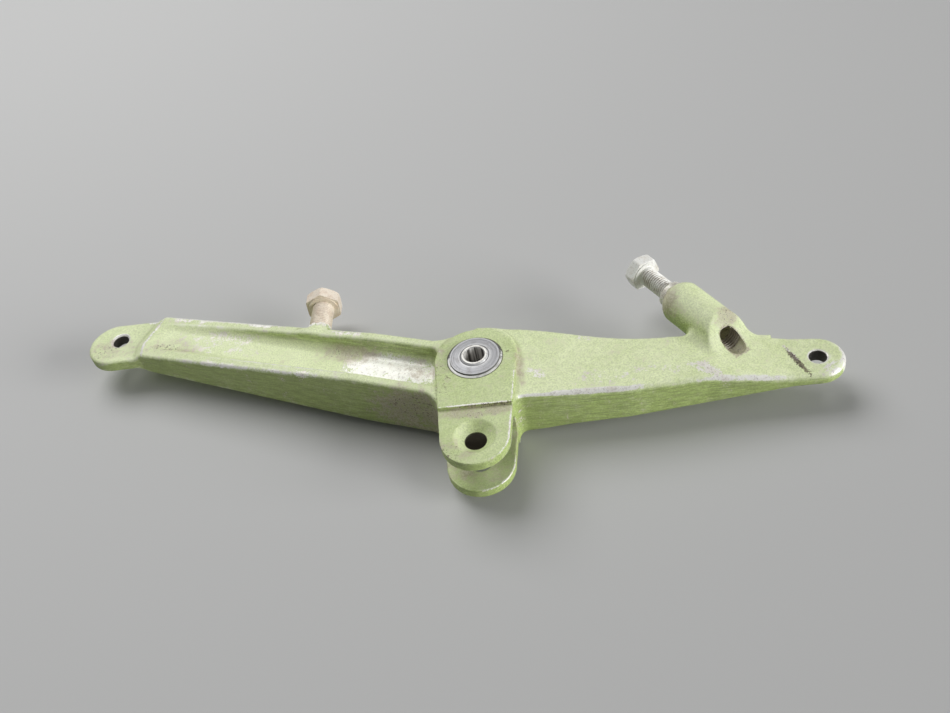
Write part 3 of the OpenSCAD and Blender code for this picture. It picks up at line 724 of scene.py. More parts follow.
left_along, left_across = in_arm(skin[:, 0], skin[:, 1], LEFT_ANGLE)
ridge_gap = np.abs(to_ridge(left_along, left_across) - RIDGE)
ridge_line = ramp(ridge_gap, *RIDGE_WEAR) * (upward > 0.6) * (np.abs(left_across) < RIDGE_WEAR_ACROSS)
bare = np.maximum(strongest(skin, BARE_SPOTS), 0.75 * ridge_line)
print("bare metal on", round(100 * float((bare > 0.5).mean())), "% of the vertices")

# %% [markdown]
# Dust, stains and painted shade. Brown dust lies in the corners that a rag doesn't reach, and oil has left
# dark stains at the foot of the step, in the open tapped hole and round the ring of the right boss. The
# clevis slot and the line along the step get painted shadow through the same mark. They are spots too, with
# the holes picked out by their own distances.

# %% Dust, stains and painted shade
DUSTY_SPOTS = (
    (0.75, (-24.0, -13.0, -1.0), (30.0, 12.0, 20.0), LEFT_ANGLE),  # left arm's front face by the hub
    (0.8, (0.0, -26.4, 11.0), (24.0, 4.2, 2.5), 0.0),  # foot of the step
    (0.75, (-54.0, 17.5, 5.0), (19.0, 7.5, 4.0), LEFT_ANGLE),  # pocket's rear corner
    (0.4, (-134.0, 33.0, 4.6), (18.0, 8.0, 4.0), LEFT_ANGLE),  # pocket's outer end
    (1.0, (74.5, 23.0, 11.0), (12.0, 11.0, 9.0), RIGHT_STOP_ANGLE),  # nose of the right boss
    (0.8, (97.5, 7.5, 13.5), (8.0, 7.0, 6.0), RIGHT_STOP_ANGLE),  # edge of its sloping face
    (0.45, (-6.0, -43.0, 11.0), (12.0, 9.0, 3.0), 0.0),  # upper ear's tip
    (0.42, (6.0, -42.5, -5.2), (14.0, 9.0, 2.5), 0.0),  # lower ear, right
    (0.5, (-9.0, -41.5, -5.2), (10.0, 8.0, 2.5), 0.0),  # lower ear, left
    (0.4, (-165.0, 38.0, 3.0), (16.0, 10.0, 4.0), 0.0),  # left lug
    (0.5, (15.0, -30.0, -2.0), (8.0, 16.0, 8.0), 0.0),  # clevis, right side
    (0.75, (17.2, -5.0, 11.5), (3.0, 16.0, 4.0), 4.0),  # fillet between hub and right arm
    (0.45, (-23.0, 3.5, 4.6), (10.0, 7.0, 3.0), LEFT_ANGLE),  # pocket's inner end
    (0.32, (-14.0, 2.0, 12.5), (8.0, 18.0, 3.0), 0.0),  # hub's left side
)
STAIN_AND_SHADOW_SPOTS = (
    (0.38, (-57.0, 18.5, 5.0), (14.0, 6.0, 4.0), LEFT_ANGLE),  # pocket's rear corner
    (0.6, (-135.0, 32.0, 4.6), (15.0, 5.5, 4.0), LEFT_ANGLE),  # pocket's outer end
    (0.6, (-24.0, -14.0, 2.0), (26.0, 8.0, 13.0), LEFT_ANGLE),  # left arm's front face by the hub
    # Painted shadow along the step's wall, under its edge.
    (1.3, (6.0, -24.3, 11.7), (22.0, 1.1, 1.1), 0.0),  # line of the step
    (0.52, (-8.0, -45.0, 11.0), (9.0, 8.0, 3.0), 0.0),  # upper ear's tip
    (0.42, (-13.0, -10.0, 12.5), (7.0, 22.0, 3.0), 0.0),  # hub's left side
    (0.45, (0.0, -27.5, 11.0), (20.0, 4.0, 2.5), 0.0),  # foot of the step
    (0.6, (98.0, 7.5, 13.5), (7.0, 6.0, 5.0), RIGHT_STOP_ANGLE),  # edge of the sloping face
    (1.4, (120.9, -10.0, 3.0), (12.5, 1.7, 2.5), -66.0),  # beside the right lug's scratch
    (1.4, (12.6, 1.8, 12.5), (0.9, 0.9, 2.0), 0.0),  # punch mark beside the bearing
    (0.46, (-167.0, 37.0, 3.0), (12.0, 9.0, 4.0), 0.0),  # left lug
)
# Painted shade fills the inner end of the clevis slot.
SLOT_SHADOW_MIDDLE = (0.0, -29.0, SLOT_Z)
SLOT_SHADOW_HALF = (9.5, 7.0, 6.3)
TAP_WALL_NEAR = 0.15
TAP_END_NEAR = 0.2
TAP_MOUTH = -1
ON_RING_NEAR = 0.8
RING_FOOT_BELOW = 0.3
RING_FOOT_EDGE = (0.7, 0.2)
RING_FOOT_NEAR = 1.5

tap_along, tap_radius, _ = along_right_stop(*skin.T)
tap_reach = (tap_along > TAP_END - TAP_R - TAP_END_NEAR) * (tap_along < TAP_MOUTH)
in_tap = (tap_radius < TAP_R + TAP_WALL_NEAR) * tap_reach
slot_shadow = (np.abs(skin - SLOT_SHADOW_MIDDLE) < SLOT_SHADOW_HALF).all(axis=1)
on_ring = (tap_along > -RING_L) * (tap_radius < RING_R + ON_RING_NEAR)
foot_line = ramp(np.abs(tap_along + RING_L + RING_FOOT_BELOW), *RING_FOOT_EDGE)
ring_foot = foot_line * (tap_radius < RING_R + RING_FOOT_NEAR)

dust = np.maximum(np.where(on_ring, 0.3, strongest(skin, DUSTY_SPOTS)), 0.9 * in_tap)
# The stain mark also carries painted shade: the inner end of the clevis slot and the line along the step.
stain = np.max([strongest(skin, STAIN_AND_SHADOW_SPOTS), 0.55 * in_tap, 2.0 * slot_shadow, 0.75 * ring_foot], axis=0)
print("dusty on", round(100 * float((dust > 0.3).mean())), "% of the vertices")

# %% [markdown]
# Chalky tops, painted shade and the finished forging. Faces that look up are paler, the machined hub
# less than the arms: partly chalky primer, partly a painted sheen. Faces that look sideways keep their
# colour and show the strokes of a file; inner corners and some flanks get painted shade. With these last
# marks the forging becomes a piece and takes the place of the imported solid.

# %% Forged crank
# Painted shade in inner corners, on the long arm's front face and on the short arm's flanks beside the hub.
flank = ramp(np.abs(upward), 0.7, 0.3)
left_shade = 0.75 * (facing[:, 1] < -0.5) * (left_across > 5)
shaded = np.where(skin[:, 0] < -18, left_shade, 0.7 * ramp(right_along, 48, 20))
corner = np.maximum(ramp(-curve, 0.1, 0.5), flank * shaded * (1 - on_hub))

# Tops are paler as chalky primer and as painted sheen. The pocket and the boss are palest, the boss as
# painted light on its shaded top, and one side of the countersink and of the pocket is paler still as
# painted light.
HUB_PALE = 0.45
in_pocket = ramp(left_half(left_along) - np.abs(skin[:, 2]), 0.2, 1.4)
pale = np.where(skin[:, 0] < -12, 0.82 + 0.15 * in_pocket, 0.83 + 0.14 * ramp(tap_radius, 10.0, 8.5))
chalk = ramp(upward, 0.1, 0.85) * (pale + (HUB_PALE - pale) * on_hub)
chalk += 0.4 * ramp(pin_gap, 8.2, 7.8) * ramp(facing[:, 0], 0.0, 0.5)
chalk += 0.3 * in_pocket * ramp(facing[:, 1], -0.3, -0.7) * (left_across < 0) * (left_along > 16)

forged = mesh_piece(
    "forged_crank", skin, skin_faces.tolist(), "crank", "primed_forging", sharp=38,
    edge=edge, rim=rim, corner=corner, bare=bare, dust=dust, stain=stain, chalk=chalk, flank=flank,
)
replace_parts(forged, "crank_body")
print("chalkiness from", round(float(chalk.min()), 2), "to", round(float(chalk.max()), 2))

# %% [markdown]
# Stop bolts. A bolt is a turned bar with a rolled thread and a forged hexagon. A Screw modifier could
# wind a thread, but it leaves an open seam at the head. Here all three are one radius given by the turn
# and the distance along the bolt, so the whole bolt is one grid. The thread is a real helix in the mesh:
# the profile shifts by one pitch in each turn.

# %% Thread and bolt sections
PITCH = 1.058
THREAD_STEEPNESS = 1.35
CREST_FLAT = 0.15
ROWS_PER_PITCH = 10
BOLT_COLUMNS = 96
TIP_BEVEL = 0.8
THREAD_FADE = (0.2, 2.0)
WASHER_H = 0.4
WASHER_STEP = 0.35
WASHER_SHARE = 0.94
WASHER_BEVEL = 0.1
WASHER_BEVEL_H = 0.3
DISH = 0.15
DISH_DEPTHS = (0.0, 0.8, 1.0)
DISH_SHARES = (0.94, 0.82, 0.30)
CORNER_WEAR = 0.12
TOP_CHAMFER = np.radians(30)
TOP_CONE = 1.04
UNDER_CONE = 1.10
UNDER_SLOPE = 2.0
HEAD_SHARES = (0.0, 0.02, 0.06, 0.15, 0.4, 0.7, 0.82, 0.9, 0.96, 1.0)


def one_turn(columns):
    """Angles of a full turn as a row, without the last one that would repeat the first."""
    return np.linspace(0, 2 * np.pi, columns, endpoint=False)[None, :]


def thread(x, theta, d, depth):
    """Radius of a sixty-degree thread: a triangle wave over the turns, cut flat at crests and roots."""
    turns = x / PITCH - theta / (2 * np.pi)
    return d / 2 - depth * np.clip(np.abs(2 * (turns % 1.0) - 1) * THREAD_STEEPNESS - CREST_FLAT, 0, 1)


def shank_rings(theta, d, depth, show, grip):
    """Distances and radii from tip to head: the thread fades out under the head and the tip is a cone."""
    x = np.arange(-grip, show, PITCH / ROWS_PER_PITCH)[:, None]
    fade = ramp(x, show - THREAD_FADE[0], show - THREAD_FADE[1])
    return x, np.minimum(thread(x, theta, d, depth * fade), d / 2 - TIP_BEVEL + (x + grip))


def head_rings(theta, d, flats, head_h, corner_at):
    """Distances over the shank's end and radii of the washer face, of a hexagon inside a cone at each
    end, and of the shallow dish on top."""
    half = flats / 2
    face_r = half * WASHER_SHARE
    washer_x = np.array((0.0, 0.0, WASHER_BEVEL_H, WASHER_H))[:, None]
    washer_r = np.array((d / 2 + WASHER_STEP, face_r - WASHER_BEVEL, face_r, face_r))[:, None] + 0 * theta
    wedge = (theta - np.radians(corner_at)) % (np.pi / 3) - np.pi / 6
    flat = half / np.cos(wedge)
    rise = WASHER_H + (head_h - WASHER_H) * np.array(HEAD_SHARES)[:, None]
    top = half * TOP_CONE + (head_h - rise) / np.tan(TOP_CHAMFER)
    under = half * UNDER_CONE + (rise - WASHER_H) * UNDER_SLOPE
    rounded = half / np.cos(np.pi / 6) - CORNER_WEAR
    hexagon = np.minimum(np.minimum(flat, rounded), np.minimum(top, under))
    dish_x = head_h - DISH * np.array(DISH_DEPTHS)[:, None]
    dish_r = np.minimum(flat, half) * np.array(DISH_SHARES)[:, None]
    return np.vstack([washer_x, rise, dish_x]), np.vstack([washer_r, hexagon, dish_r])


print("thread pitch", PITCH, "mm, drawn with", ROWS_PER_PITCH, "rings each")

# %% [markdown]
# The two bolts themselves. The rings are set along each bolt's axis, joined by four-sided faces and
# closed by a fan of triangles at the tip and on the head. How deep a ring lies in the thread is stored as
# a mark, which the finish will fill with dirt.

# %% Stop bolts
def ring_faces(rows, columns):
    """Four-sided faces between neighbouring rings of a grid that is closed round its columns."""
    at = np.arange(rows * columns).reshape(rows, columns)
    side = np.roll(at, -1, axis=1)
    return np.stack([at[:-1], side[:-1], side[1:], at[1:]], -1).reshape(-1, 4)


def on_axis(x, theta, r, place, aim):
    """Points at distance x along an axis that points aim from +X in plan, turned by theta at radius r."""
    c, s = np.cos(aim), np.sin(aim)
    side, up = r * np.cos(theta), r * np.sin(theta)
    x = np.broadcast_to(x, side.shape)
    return np.stack([place[0] + x * c - side * s, place[1] + x * s + side * c, place[2] + up], -1)


def stop_bolt(name, node, body, slot, place, aim, d, flats, head_h, corner_at, show, grip, depth):
    """Shank and head rings on the bolt's axis, with a point at each end that closes them."""
    theta = one_turn(BOLT_COLUMNS)
    shank_x, shank_r = shank_rings(theta, d, depth, show, grip)
    head_x, head_r = head_rings(theta, d, flats, head_h, corner_at)
    x, r = np.vstack([shank_x, show + head_x]), np.vstack([shank_r, head_r])
    rings = on_axis(x, theta, r, place, aim).reshape(-1, 3)
    end_x = np.array((-grip, show + head_h - DISH))
    ends = on_axis(end_x, np.zeros(2), np.zeros(2), place, aim)
    count, last = len(rings), len(rings) - BOLT_COLUMNS
    around = np.arange(BOLT_COLUMNS)
    ahead = np.roll(around, -1)
    tip = np.stack([np.full(BOLT_COLUMNS, count), ahead, around], 1)
    crown = np.stack([np.full(BOLT_COLUMNS, count + 1), last + around, last + ahead], 1)
    faces = ring_faces(len(x), BOLT_COLUMNS).tolist() + tip.tolist() + crown.tolist()
    sunk = np.clip((d / 2 - shank_r) / depth, 0, 1).ravel()
    groove = np.concatenate([sunk, np.zeros(count - sunk.size + 2)])
    bolt = mesh_piece(name, np.vstack([rings, ends]), faces, body, slot, sharp=32, groove=groove)
    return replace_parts(bolt, node)


left_bolt = stop_bolt(
    "left_bolt_threaded", "left_stop_bolt", "left_bolt", "tan_bolt", LEFT_STOP, LEFT_AIM,
    d=9.52, flats=14.29, head_h=6.0, corner_at=33.0, show=13.2, grip=9.5, depth=0.32,
)
right_bolt = stop_bolt(
    "right_bolt_threaded", "right_stop_bolt", "right_bolt", "cadmium_bolt", RIGHT_STOP, RIGHT_AIM,
    d=7.94, flats=12.7, head_h=5.2, corner_at=10.0, show=15.0, grip=20.0, depth=0.5,
)
print("bolts at", np.round(LEFT_STOP, 1).tolist(), "and", np.round(RIGHT_STOP, 1).tolist())

# %% [markdown]
# Thread in the open hole. Where the right hole comes out over the arm one looks into its thread. A tapped
# wall is the bolt's grid turned inside out; each of its lines starts where that line first has metal
# behind it, so the wall ends along the sloping face and the groove without being trimmed.

# %% Tapped wall
WALL_OUTER = -31.0
WALL_DEEPEST = -36.0
WALL_MARGIN = 0.05
WALL_CLEARANCE = 0.02
WALL_DEPTH = 0.45
WALL_ROWS = 90
WALL_COLUMNS = 120
WALL_PROBES = 500


def tapped_wall():
    """Helical wall with its roots on the drilled hole; at each turn angle it runs from the deepest point
    that still has metal all the way out, up to just past the bolt's deepest setting."""
    theta = one_turn(WALL_COLUMNS)
    search = np.linspace(WALL_OUTER, WALL_DEEPEST, WALL_PROBES)[:, None]
    probe = on_axis(search, theta, np.full((WALL_PROBES, WALL_COLUMNS), TAP_R), RIGHT_STOP, RIGHT_AIM)
    distance = untapped(*probe.reshape(-1, 3).T).reshape(WALL_PROBES, WALL_COLUMNS)
    metal = np.minimum.accumulate(distance < -WALL_MARGIN, axis=0)
    start = search[metal.sum(0) - 1, 0][None, :]
    x = start + (WALL_OUTER - start) * np.linspace(0, 1, WALL_ROWS)[:, None]
    r = thread(x, theta, 2 * (TAP_R - WALL_CLEARANCE), WALL_DEPTH)
    points = on_axis(x, theta, r, RIGHT_STOP, RIGHT_AIM).reshape(-1, 3)
    faces = ring_faces(WALL_ROWS, WALL_COLUMNS)[:, ::-1].tolist()
    groove = np.clip((r - TAP_R + WALL_DEPTH) / WALL_DEPTH, 0, 1).ravel()
    return mesh_piece("tapped_wall", points, faces, "crank", "primed_forging", sharp=50, groove=groove)


wall = tapped_wall()

# %% [markdown]
# Bearings. The rings are ground and turned, so they are sections carried once round the axis; worked out
# as arrays, their faces look the right way on both bearings. Small radii on every corner catch the light.
# The outer ring's section ends in the lip that was staked over into the seat's bevel, and the shield's
# section holds two fine grooves.

# %% Bearing rings
BEARING_Z = 10.73
RING_COLUMNS = 144
RING_CORNER = 0.09
CORNER_POINTS = 4
LONGEST_SHARE = 0.4
OUTER = [
    (8.4, -2.27), (9.0, -2.27), (9.0, -2.97), (9.92, -2.97), (SEAT_R, -2.57), (SEAT_R, 1.52),
    (10.80, 1.80), (9.98, 2.16), (9.92, 2.20), (9.84, 2.97), (9.0, 2.97), (9.0, 2.27), (8.4, 2.27),
    (8.4, 1.16), (8.86, 0.3), (8.86, -0.3), (8.4, -1.16),
]
INNER = [
    (3.97, -3.37), (4.37, -3.77), (6.1, -3.77), (6.1, -1.16), (5.62, -0.3), (5.62, 0.3), (6.1, 1.16),
    (6.1, 2.2), (5.5, 2.5), (5.5, 3.2), (5.05, 3.7), (4.95, 3.77), (4.3, 3.77), (3.97, 3.44),
]
SHIELD = [
    (5.75, 2.75), (9.0, 2.27), (9.0, 2.77), (8.3, 2.86), (8.25, 2.80), (8.15, 2.81), (8.1, 2.88),
    (6.6, 3.1), (6.5, 3.06), (5.75, 3.2),
]


def softened(points, r):
    """Closed section with each corner replaced by a short arc that leaves its sides at distance r."""
    p = np.array(points, float)
    back, ahead = np.roll(p, 1, axis=0) - p, np.roll(p, -1, axis=0) - p
    back_l, ahead_l = (np.linalg.norm(side, axis=1, keepdims=True) for side in (back, ahead))
    reach = np.minimum(r, LONGEST_SHARE * np.minimum(back_l, ahead_l))
    a, b = p + back / back_l * reach, p + ahead / ahead_l * reach
    t = np.linspace(0, 1, CORNER_POINTS)[None, :, None]
    arc = (1 - t) ** 2 * a[:, None] + 2 * t * (1 - t) * p[:, None] + t ** 2 * b[:, None]
    return arc.reshape(-1, 2)


def turned_ring(name, section, side, body, node):
    """Closed section of radius and height points, carried round the axis; side is 1 above and -1 below.
    The sign of the section's area tells which way its faces look."""
    profile = softened(section, RING_CORNER)
    theta = one_turn(RING_COLUMNS)[0]
    r, z = profile[:, :1], profile[:, 1:]
    points = np.stack([r * np.cos(theta), r * np.sin(theta), side * (BEARING_Z + z) + 0 * theta], -1)
    at = np.arange(len(profile) * RING_COLUMNS).reshape(-1, RING_COLUMNS)
    down, along = np.roll(at, -1, axis=0), np.roll(at, -1, axis=1)
    faces = np.stack([at, along, np.roll(down, -1, axis=1), down], -1).reshape(-1, 4)
    following = np.roll(profile, -1, axis=0)
    area = (profile[:, 0] * following[:, 1] - following[:, 0] * profile[:, 1]).sum() / 2
    if area * side > 0:
        faces = faces[:, ::-1]
    ring = mesh_piece(name, points.reshape(-1, 3), faces.tolist(), body, "bearing_steel", sharp=40)
    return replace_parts(ring, node)


rings = []
for level, side, face in (("upper", 1, "top"), ("lower", -1, "bottom")):
    bearing = f"{level}_bearing"
    rings += [
        turned_ring(f"{level}_outer_race", OUTER, side, "crank", f"{bearing}_outer_ring"),
        turned_ring(f"{level}_inner_race", INNER, side, "pivot_core", f"{bearing}_inner_ring"),
        turned_ring(f"{level}_dust_shield", SHIELD, side, "crank", f"{bearing}_{face}_shield"),
    ]
print("bearing pieces:", [ring.name for ring in rings])

# %% [markdown]
# Helpers for finishes. A finish could be a picture wrapped round the piece; here it is a small graph of
# nodes, which stays sharp at any distance. Each helper adds one kind of node and hands back its output,
# so a graph reads like a formula. Sizes are given in millimetres and turned into scales of metres.

# %% Node helpers for places and numbers
def finish(name):
    """New material with its shader and its Object coordinates."""
    paint = bpy.data.materials.new(name)
    paint.use_nodes = True
    tree = paint.node_tree
    where = tree.nodes.new("ShaderNodeTexCoord").outputs["Object"]
    return paint, tree, tree.nodes["Principled BSDF"], where


def wire(tree, socket, value):
    """Links an output into a socket, or sets the socket to a plain value."""
    if isinstance(value, bpy.types.NodeSocket):
        tree.links.new(value, socket)
    else:
        socket.default_value = value


def maths(tree, operation, a, b=0.0):
    """Two values put together by one arithmetic operation."""
    node = tree.nodes.new("ShaderNodeMath")
    node.operation = operation
    wire(tree, node.inputs[0], a)
    wire(tree, node.inputs[1], b)
    return node.outputs[0]


def plus(tree, a, b):
    """Sum of two values."""
    return maths(tree, "ADD", a, b)


def times(tree, a, b):
    """Product of two values."""
    return maths(tree, "MULTIPLY", a, b)


def larger(tree, a, b):
    """The larger of two values."""
    return maths(tree, "MAXIMUM", a, b)


def apart(tree, a, b):
    """Distance between two values, whichever is larger."""
    return maths(tree, "ABSOLUTE", maths(tree, "SUBTRACT", a, b))


def between(tree, value, low, high, to_low=0.0, to_high=1.0):
    """Smooth change from to_low to to_high while the value goes from low to high."""
    node = tree.nodes.new("ShaderNodeMapRange")
    node.interpolation_type = "SMOOTHSTEP"
    wire(tree, node.inputs["Value"], value)
    for socket, number in zip(("From Min", "From Max", "To Min", "To Max"), (low, high, to_low, to_high)):
        node.inputs[socket].default_value = number
    return node.outputs["Result"]


def axis_value(tree, where, axis):
    """One coordinate, in millimetres."""
    node = tree.nodes.new("ShaderNodeSeparateXYZ")
    tree.links.new(where, node.inputs[0])
    return times(tree, node.outputs[axis], 1 / MM)


def axis_radius(tree, where, x=0.0, y=0.0):
    """Distance in millimetres from an upright axis that stands at x and y millimetres."""
    value = where
    for operation, amount in (("SUBTRACT", (x * MM, y * MM, 0)), ("MULTIPLY", (1 / MM, 1 / MM, 0))):
        node = tree.nodes.new("ShaderNodeVectorMath")
        node.operation = operation
        tree.links.new(value, node.inputs[0])
        node.inputs[1].default_value = amount
        value = node.outputs["Vector"]
    length = tree.nodes.new("ShaderNodeVectorMath")
    length.operation = "LENGTH"
    tree.links.new(value, length.inputs[0])
    return length.outputs["Value"]


print("helpers for places and numbers ready")

# %% [markdown]
# The second half of the helpers makes the patterns: noise, noise drawn out into streaks, the marks stored
# with the mesh, a mix of two colours and a fine relief.

# %% Node helpers for patterns and colours
def noise(tree, where, size_mm, detail=3.0, roughness=0.5):
    """Soft random values from 0 to 1 whose lumps are about size_mm across."""
    node = tree.nodes.new("ShaderNodeTexNoise")
    wire(tree, node.inputs["Vector"], where)
    node.inputs["Scale"].default_value = 1 / (size_mm * MM)
    node.inputs["Detail"].default_value = detail
    node.inputs["Roughness"].default_value = roughness
    return node.outputs["Fac"]


def stretched(tree, where, longer, turn=0.0):
    """Coordinates turned about Z and divided along each axis, so that marks run that much longer."""
    node = tree.nodes.new("ShaderNodeMapping")
    node.vector_type = "TEXTURE"
    wire(tree, node.inputs["Vector"], where)
    node.inputs["Scale"].default_value = longer
    node.inputs["Rotation"].default_value = (0, 0, np.radians(turn))
    return node.outputs["Vector"]


def mark(tree, name):
    """Number per vertex that was stored with the mesh."""
    node = tree.nodes.new("ShaderNodeAttribute")
    node.attribute_name = name
    return node.outputs["Fac"]


def tint(tree, share, a, b, mode="MIX"):
    """Colour a where share is 0 and colour b, or both multiplied if the mode says so, where it is 1."""
    node = tree.nodes.new("ShaderNodeMix")
    node.data_type = "RGBA"
    node.blend_type = mode
    share_socket, a_socket, b_socket = node.inputs[0], node.inputs[6], node.inputs[7]
    wire(tree, share_socket, share)
    wire(tree, a_socket, a if isinstance(a, bpy.types.NodeSocket) else (*a, 1))
    wire(tree, b_socket, b if isinstance(b, bpy.types.NodeSocket) else (*b, 1))
    return node.outputs[2]


def relief(tree, shader, height, depth_mm, strength):
    """Bump from a height of 0 to 1 that stands depth_mm tall."""
    node = tree.nodes.new("ShaderNodeBump")
    node.inputs["Distance"].default_value = depth_mm * MM
    node.inputs["Strength"].default_value = strength
    wire(tree, node.inputs["Height"], height)
    tree.links.new(node.outputs["Normal"], shader.inputs["Normal"])


print("helpers for patterns and colours ready")

# %% [markdown]
# The primer. Zinc-chromate-green primer is thin and dull: yellow-green on the sides, paler and chalky on
# top where light and dust have dried it, with a painted sheen added there. The bare aluminium shows on
# edges and in the worn patch, and it is speckled because the primer stays in the pits. Painted shade
# darkens inner corners, holes and the clevis slot. Each layer is a function of its own, so that it can be
# tried and changed without the others.

# %% Layers of the primer
SIDE_GREEN = (0.455, 0.57, 0.195)
CHALK_AND_SHEEN_GREEN = (0.83, 0.905, 0.565)
PAINTED_SHADE_GREEN = (0.27, 0.31, 0.12)
FADED_GREEN = (0.90, 0.95, 0.72)
BRIGHT_METAL = (0.97, 0.965, 0.90)
WARM_METAL = (0.90, 0.87, 0.79)
PITTED_METAL = (0.50, 0.46, 0.42)
DARK_EARTH = (0.40, 0.33, 0.24)
PALE_EARTH = (0.62, 0.56, 0.47)
GRIME_AND_SHADE = (0.13, 0.095, 0.065)
SHADE_AND_STAIN_BLACK = (0.028, 0.022, 0.016)
FILE_STROKE = (22, 1, 1)
SEAT_SHADOW_LINE = 10.95
HOLES = [(0.0, EAR_Y, PIN_R, 0.0)]
for degrees, reach, r, bevel in LUG_HOLES:
    HOLES.append((reach * np.cos(np.radians(degrees)), reach * np.sin(np.radians(degrees)), r, bevel))


def green_coat(tree, where, cloud, mottle, grain):
    """Side green to chalk-and-sheen green by mark and noise, with file strokes on flanks and painted shade
    in corners and on shaded flanks.
    """
    strokes = []
    for turn in (LEFT_ANGLE, RIGHT_ANGLE):
        lines = noise(tree, stretched(tree, where, FILE_STROKE, turn), 0.62, 4, 0.65)
        strokes.append(between(tree, lines, 0.34, 0.66, 1.17, 0.76))
    filed = tint(tree, between(tree, axis_value(tree, where, "X"), -6.0, 6.0), *strokes)
    uneven = between(tree, cloud, 0.3, 0.7, -0.10, 0.10)
    uneven = plus(tree, uneven, between(tree, mottle, 0.35, 0.65, -0.11, 0.11))
    # Paler tops are partly chalky primer and partly painted sheen and painted light.
    green = tint(tree, plus(tree, mark(tree, "chalk"), uneven), SIDE_GREEN, CHALK_AND_SHEEN_GREEN)
    green = tint(tree, 1.0, green, between(tree, grain, 0.32, 0.68, 0.83, 1.11), "MULTIPLY")
    green = tint(tree, mark(tree, "flank"), green, filed, "MULTIPLY")
    # The corner mark is painted shade in inner corners and on shaded flanks.
    return tint(tree, times(tree, mark(tree, "corner"), 0.4), green, PAINTED_SHADE_GREEN)


def worn_share(tree, where, ragged, speckle):
    """Share of bare metal: the larger of the bare spots, the rubbed edges and the bevels of the holes,
    each with an outline broken up by noise."""
    patch = plus(tree, plus(tree, mark(tree, "bare"), ragged), speckle)
    rubbed = plus(tree, mark(tree, "edge"), times(tree, ragged, 0.6))
    rubbed = plus(tree, rubbed, times(tree, speckle, 0.5))
    worn = larger(tree, between(tree, patch, 0.38, 0.56), between(tree, rubbed, 0.34, 0.62))
    for x, y, r, bevel in HOLES:
        rough_radius = plus(tree, axis_radius(tree, where, x, y), times(tree, ragged, 0.4))
        bright = between(tree, rough_radius, r + bevel + 0.3, r + bevel + 0.1)
        worn = larger(tree, worn, times(tree, bright, min(1.0, 2.5 * bevel)))
    return worn


def bare_metal(tree, blotch, dots):
    """Aluminium, warmer in blotches and dark in its pits."""
    metal = tint(tree, between(tree, blotch, 0.48, 0.66), BRIGHT_METAL, WARM_METAL)
    return tint(tree, between(tree, dots, 0.50, 0.68, 0.0, 0.7), metal, PITTED_METAL)


def hole_shade_share(tree, where):
    """Share of painted shade: 1 inside the plain holes and 0 outside them, by the distance from each hole's
    axis.
    """
    share = 0.0
    for x, y, r, _ in HOLES:
        share = larger(tree, share, between(tree, axis_radius(tree, where, x, y), r + 0.2, r + 0.1))
    return share


def shade_and_stain_share(tree, where, mottle, spots):
    """Share of black: painted shade inside the holes and in the clevis slot, the deepest stains, and a
    painted shadow line round the seat.
    """
    deep = times(tree, hole_shade_share(tree, where), 0.95)
    deep = larger(tree, deep, between(tree, spots, 1.3, 1.6, 0.0, 0.95))
    line = between(tree, apart(tree, axis_radius(tree, where), SEAT_SHADOW_LINE), 0.22, 0.08)
    return larger(tree, deep, times(tree, line, between(tree, mottle, 0.3, 0.55, 0.3, 0.9)))


print("holes drawn by the finish at", np.round([hole[:2] for hole in HOLES], 1).tolist())

# %% [markdown]
# Now the layers go over each other, the real ones in the order in which they happened: green, faded rims,
# metal, dust and grime, with painted sheen and shade in the green and the grime, and painted shade inside
# the holes last. The same noise that breaks up the colours also gives the relief, so that a chip has an
# edge to catch the light.

